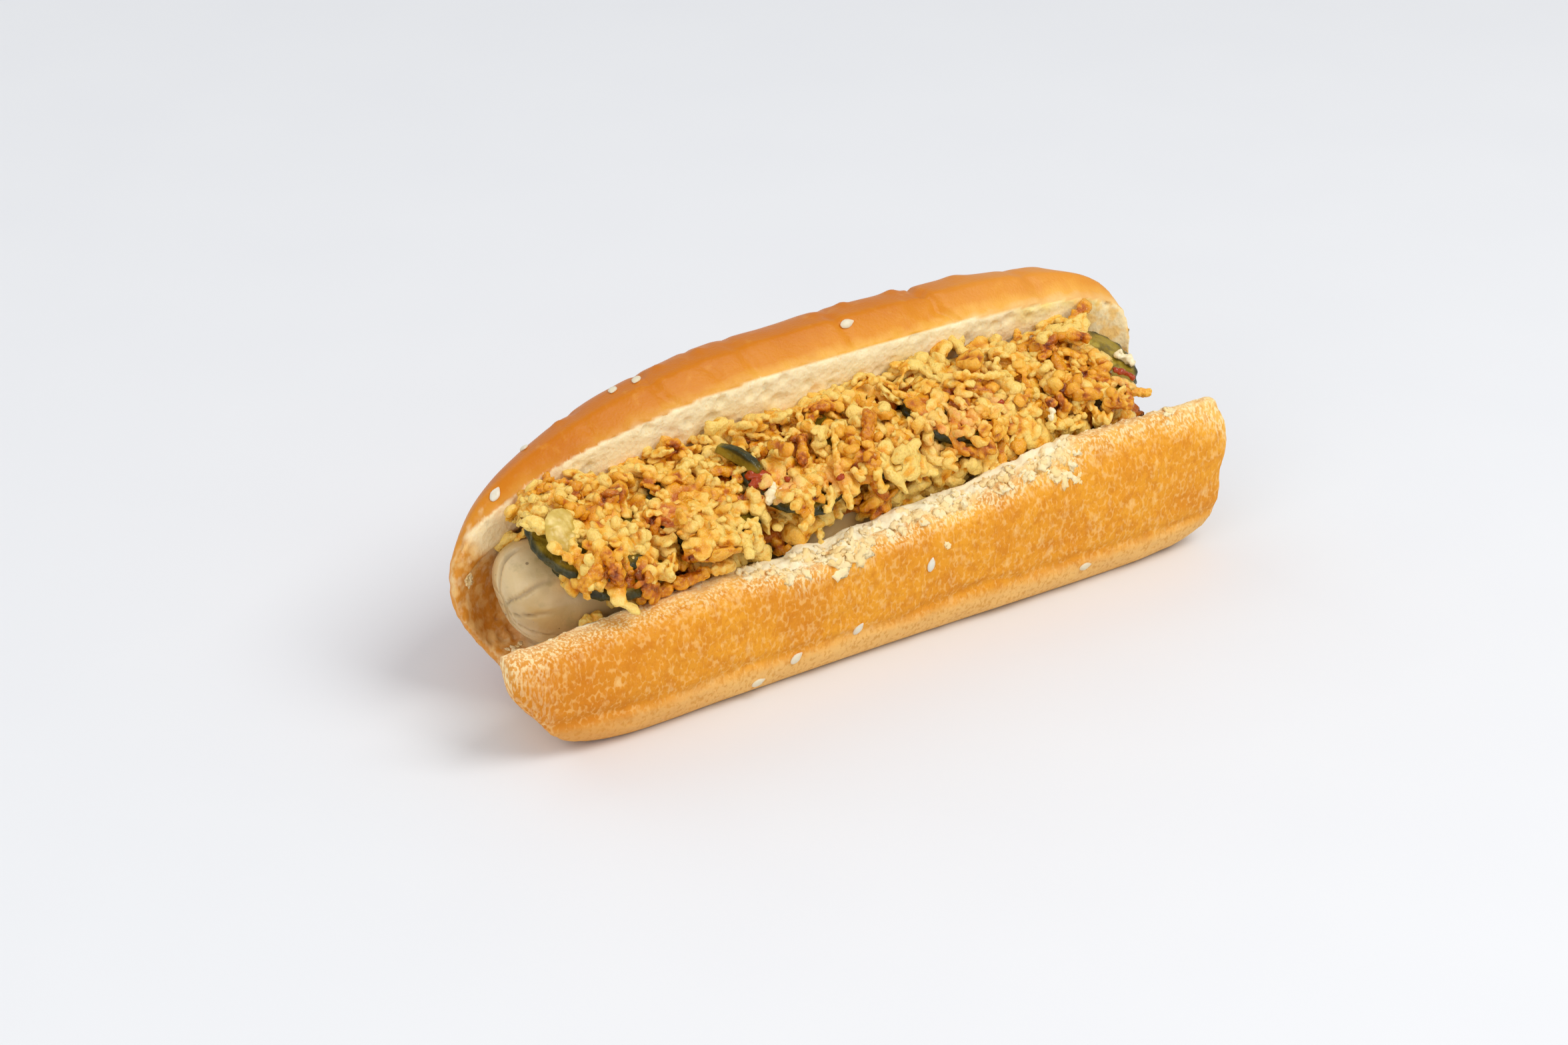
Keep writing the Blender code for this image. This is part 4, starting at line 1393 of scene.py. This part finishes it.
def makeSeeds():
    # one seed: a ball drawn out to a point at one end
    bpy.ops.object.select_all(action="DESELECT")
    bpy.ops.mesh.primitive_uv_sphere_add(segments=16, ring_count=10, radius=0.5)
    seed = bpy.context.active_object
    bpy.ops.object.mode_set(mode="EDIT")
    bpy.ops.mesh.select_all(action="SELECT")
    bpy.ops.transform.resize(value=seedShape["size"])
    bpy.ops.object.mode_set(mode="OBJECT")
    points = pointsOf(seed)
    tip = seedShape["size"][0] / 2
    narrow = 1 - seedShape["taper"] * smoothStep(points[:, 0], 0, tip)
    points[:, 1:] *= narrow[:, None]
    movePoints(seed, points)
    setAttribute(seed, "hollow", np.zeros(len(points)))
    bun = bpy.data.objects["opened_bun"]
    copies = []
    for *place, turn in seedPlaces:
        _, middle, facing, _ = bun.closest_point_on_mesh(Vector(place) * mm)
        middle += facing * seedShape["lift"]
        copies.append((seed, placedAt(middle, facing, math.radians(turn), 0.0, 1.0), turn / 90))
    seeds = joinCopies("sesame_seeds", copies)
    bpy.data.objects.remove(seed)
    look = Look("sesame seed")
    colour = look.layered(
        (0.90, 0.72, 0.46),
        ((0.94, 0.84, 0.66), look.attribute("tone")),
        ((0.80, 0.55, 0.28), look.between(look.noise(1.2 * mm), 0.5, 0.8) * 0.4),
    )
    hull = look.surface(Base_Color=colour, Roughness=0.4, Subsurface_Weight=0.2)
    finishPiece(seeds, hull, "crust")
    print("seeds made:", len(copies))


crumbShape = {
    "seed": 21,
    "kinds": 8,
    "flat": 0.32,
    "facesKept": 0.07,
    "sink": 0.15 * mm,
    "tilt": 0.3,
}
# along the front rim: how many, from and to which x, how far from the edge, and their size
crumbRims = (
    (250, -36, 48, 2.4, 1.35),
    (80, -81, -36, 0.7, 0.5),
    (60, 48, 76, 0.9, 0.6),
)
# loose torn crumb: a place in mm, how far it spreads, how many and their size
crumbPlaces = (
    (-81.2, 3.2, 27.0, 1.4, 7, 0.8), (-73.5, -1.0, 12.0, 1.6, 6, 0.8),
    (-13.0, -27.6, 26.4, 2.8, 12, 1.6), (-7.0, -28.0, 26.0, 1.8, 6, 1.4),
    (46.6, -28.4, 28.6, 2.4, 7, 1.0), (42.0, -27.6, 29.4, 2.0, 6, 1.2),
    (74.0, -24.2, 33.8, 1.6, 6, 0.9), (12.6, -29.1, 21.5, 0.4, 1, 0.8),
)


def makeFlake(chance, name):
    # a ragged scrap of crumb
    bpy.ops.object.select_all(action="DESELECT")
    bpy.ops.mesh.primitive_ico_sphere_add(subdivisions=4, radius=1.0)
    flake = bpy.context.active_object
    flake.name = name
    shift = chance.uniform(0, 50)
    points, normals = pointsOf(flake), normalsOf(flake)
    points *= 1 + 0.5 * noiseAt(points, 0.6, shift)[:, None]
    points *= np.array((chance.uniform(1.1, 1.6), chance.uniform(0.7, 1.0), crumbShape["flat"]))
    points += normals * (0.35 * noiseAt(points, 0.5, shift + 3))[:, None]
    points[:, 2] += 0.3 * noiseAt(points * np.array((1, 1, 0)), 1.2, shift + 5)
    movePoints(flake, points * mm)
    applyModifier(flake, "DECIMATE", ratio=crumbShape["facesKept"])
    setAttribute(flake, "hollow", hollowsOf(flake))
    return flake


def makeCrumbs():
    chance = random.Random(crumbShape["seed"])
    shapes = [makeFlake(chance, f"crumb_{n}") for n in range(crumbShape["kinds"])]
    bun = bpy.data.objects["opened_bun"]
    points, normals = pointsOf(bun), normalsOf(bun)
    x, y, z = points.T / mm
    edge = attributeOf(bun, "edge")
    nearRim = (y < -16) & (z > 24)
    places = []
    for count, low, high, width, most in crumbRims:
        onRim = np.flatnonzero(nearRim & (edge < width) & (x > low) & (x < high))
        for _ in range(count):
            k = int(chance.choice(onRim))
            size = most * chance.uniform(0.4, 1.0) ** 1.5
            places.append((points[k] - normals[k] * crumbShape["sink"], normals[k], size))
    for *place, spread, count, size in crumbPlaces:
        for _ in range(count):
            near = Vector(place) + Vector([chance.gauss(0, spread / 2) for _ in "xyz"])
            _, middle, facing, _ = bun.closest_point_on_mesh(near * mm)
            places.append((middle, facing, size * chance.uniform(0.5, 1.1)))
    copies = []
    for place, facing, size in places:
        shape = chance.choice(shapes)
        spin, tilt = chance.uniform(0, math.tau), chance.gauss(0, crumbShape["tilt"])
        matrix = placedAt(Vector(place), Vector(facing), spin, tilt, size)
        copies.append((shape, matrix, chance.random()))
    crumbs = joinCopies("torn_crumbs", copies)
    for shape in shapes:
        bpy.data.objects.remove(shape)
    look = Look("torn crumb")
    colour = look.layered(
        (0.97, 0.70, 0.30),
        ((0.99, 0.84, 0.52), look.attribute("tone")),
        # darker in the hollows: painted shade
        ((0.95, 0.72, 0.36), look.attribute("hollow") * 0.3),
    )
    crumb = look.surface(
        Base_Color=colour,
        Roughness=0.8,
        Normal=look.bump(look.noise(0.5 * mm, detail=3.0), 0.15 * mm),
        soft=(0.1, (1.0, 0.9, 0.7), 0.3 * mm),
    )
    finishPiece(crumbs, crumb, "crust")
    print("torn crumbs made:", len(copies))


makeStudio()
makeBun()
makeSeeds()
makeCrumbs()
makeSausage()
makePickles()
makeOnions()
makeSauces()
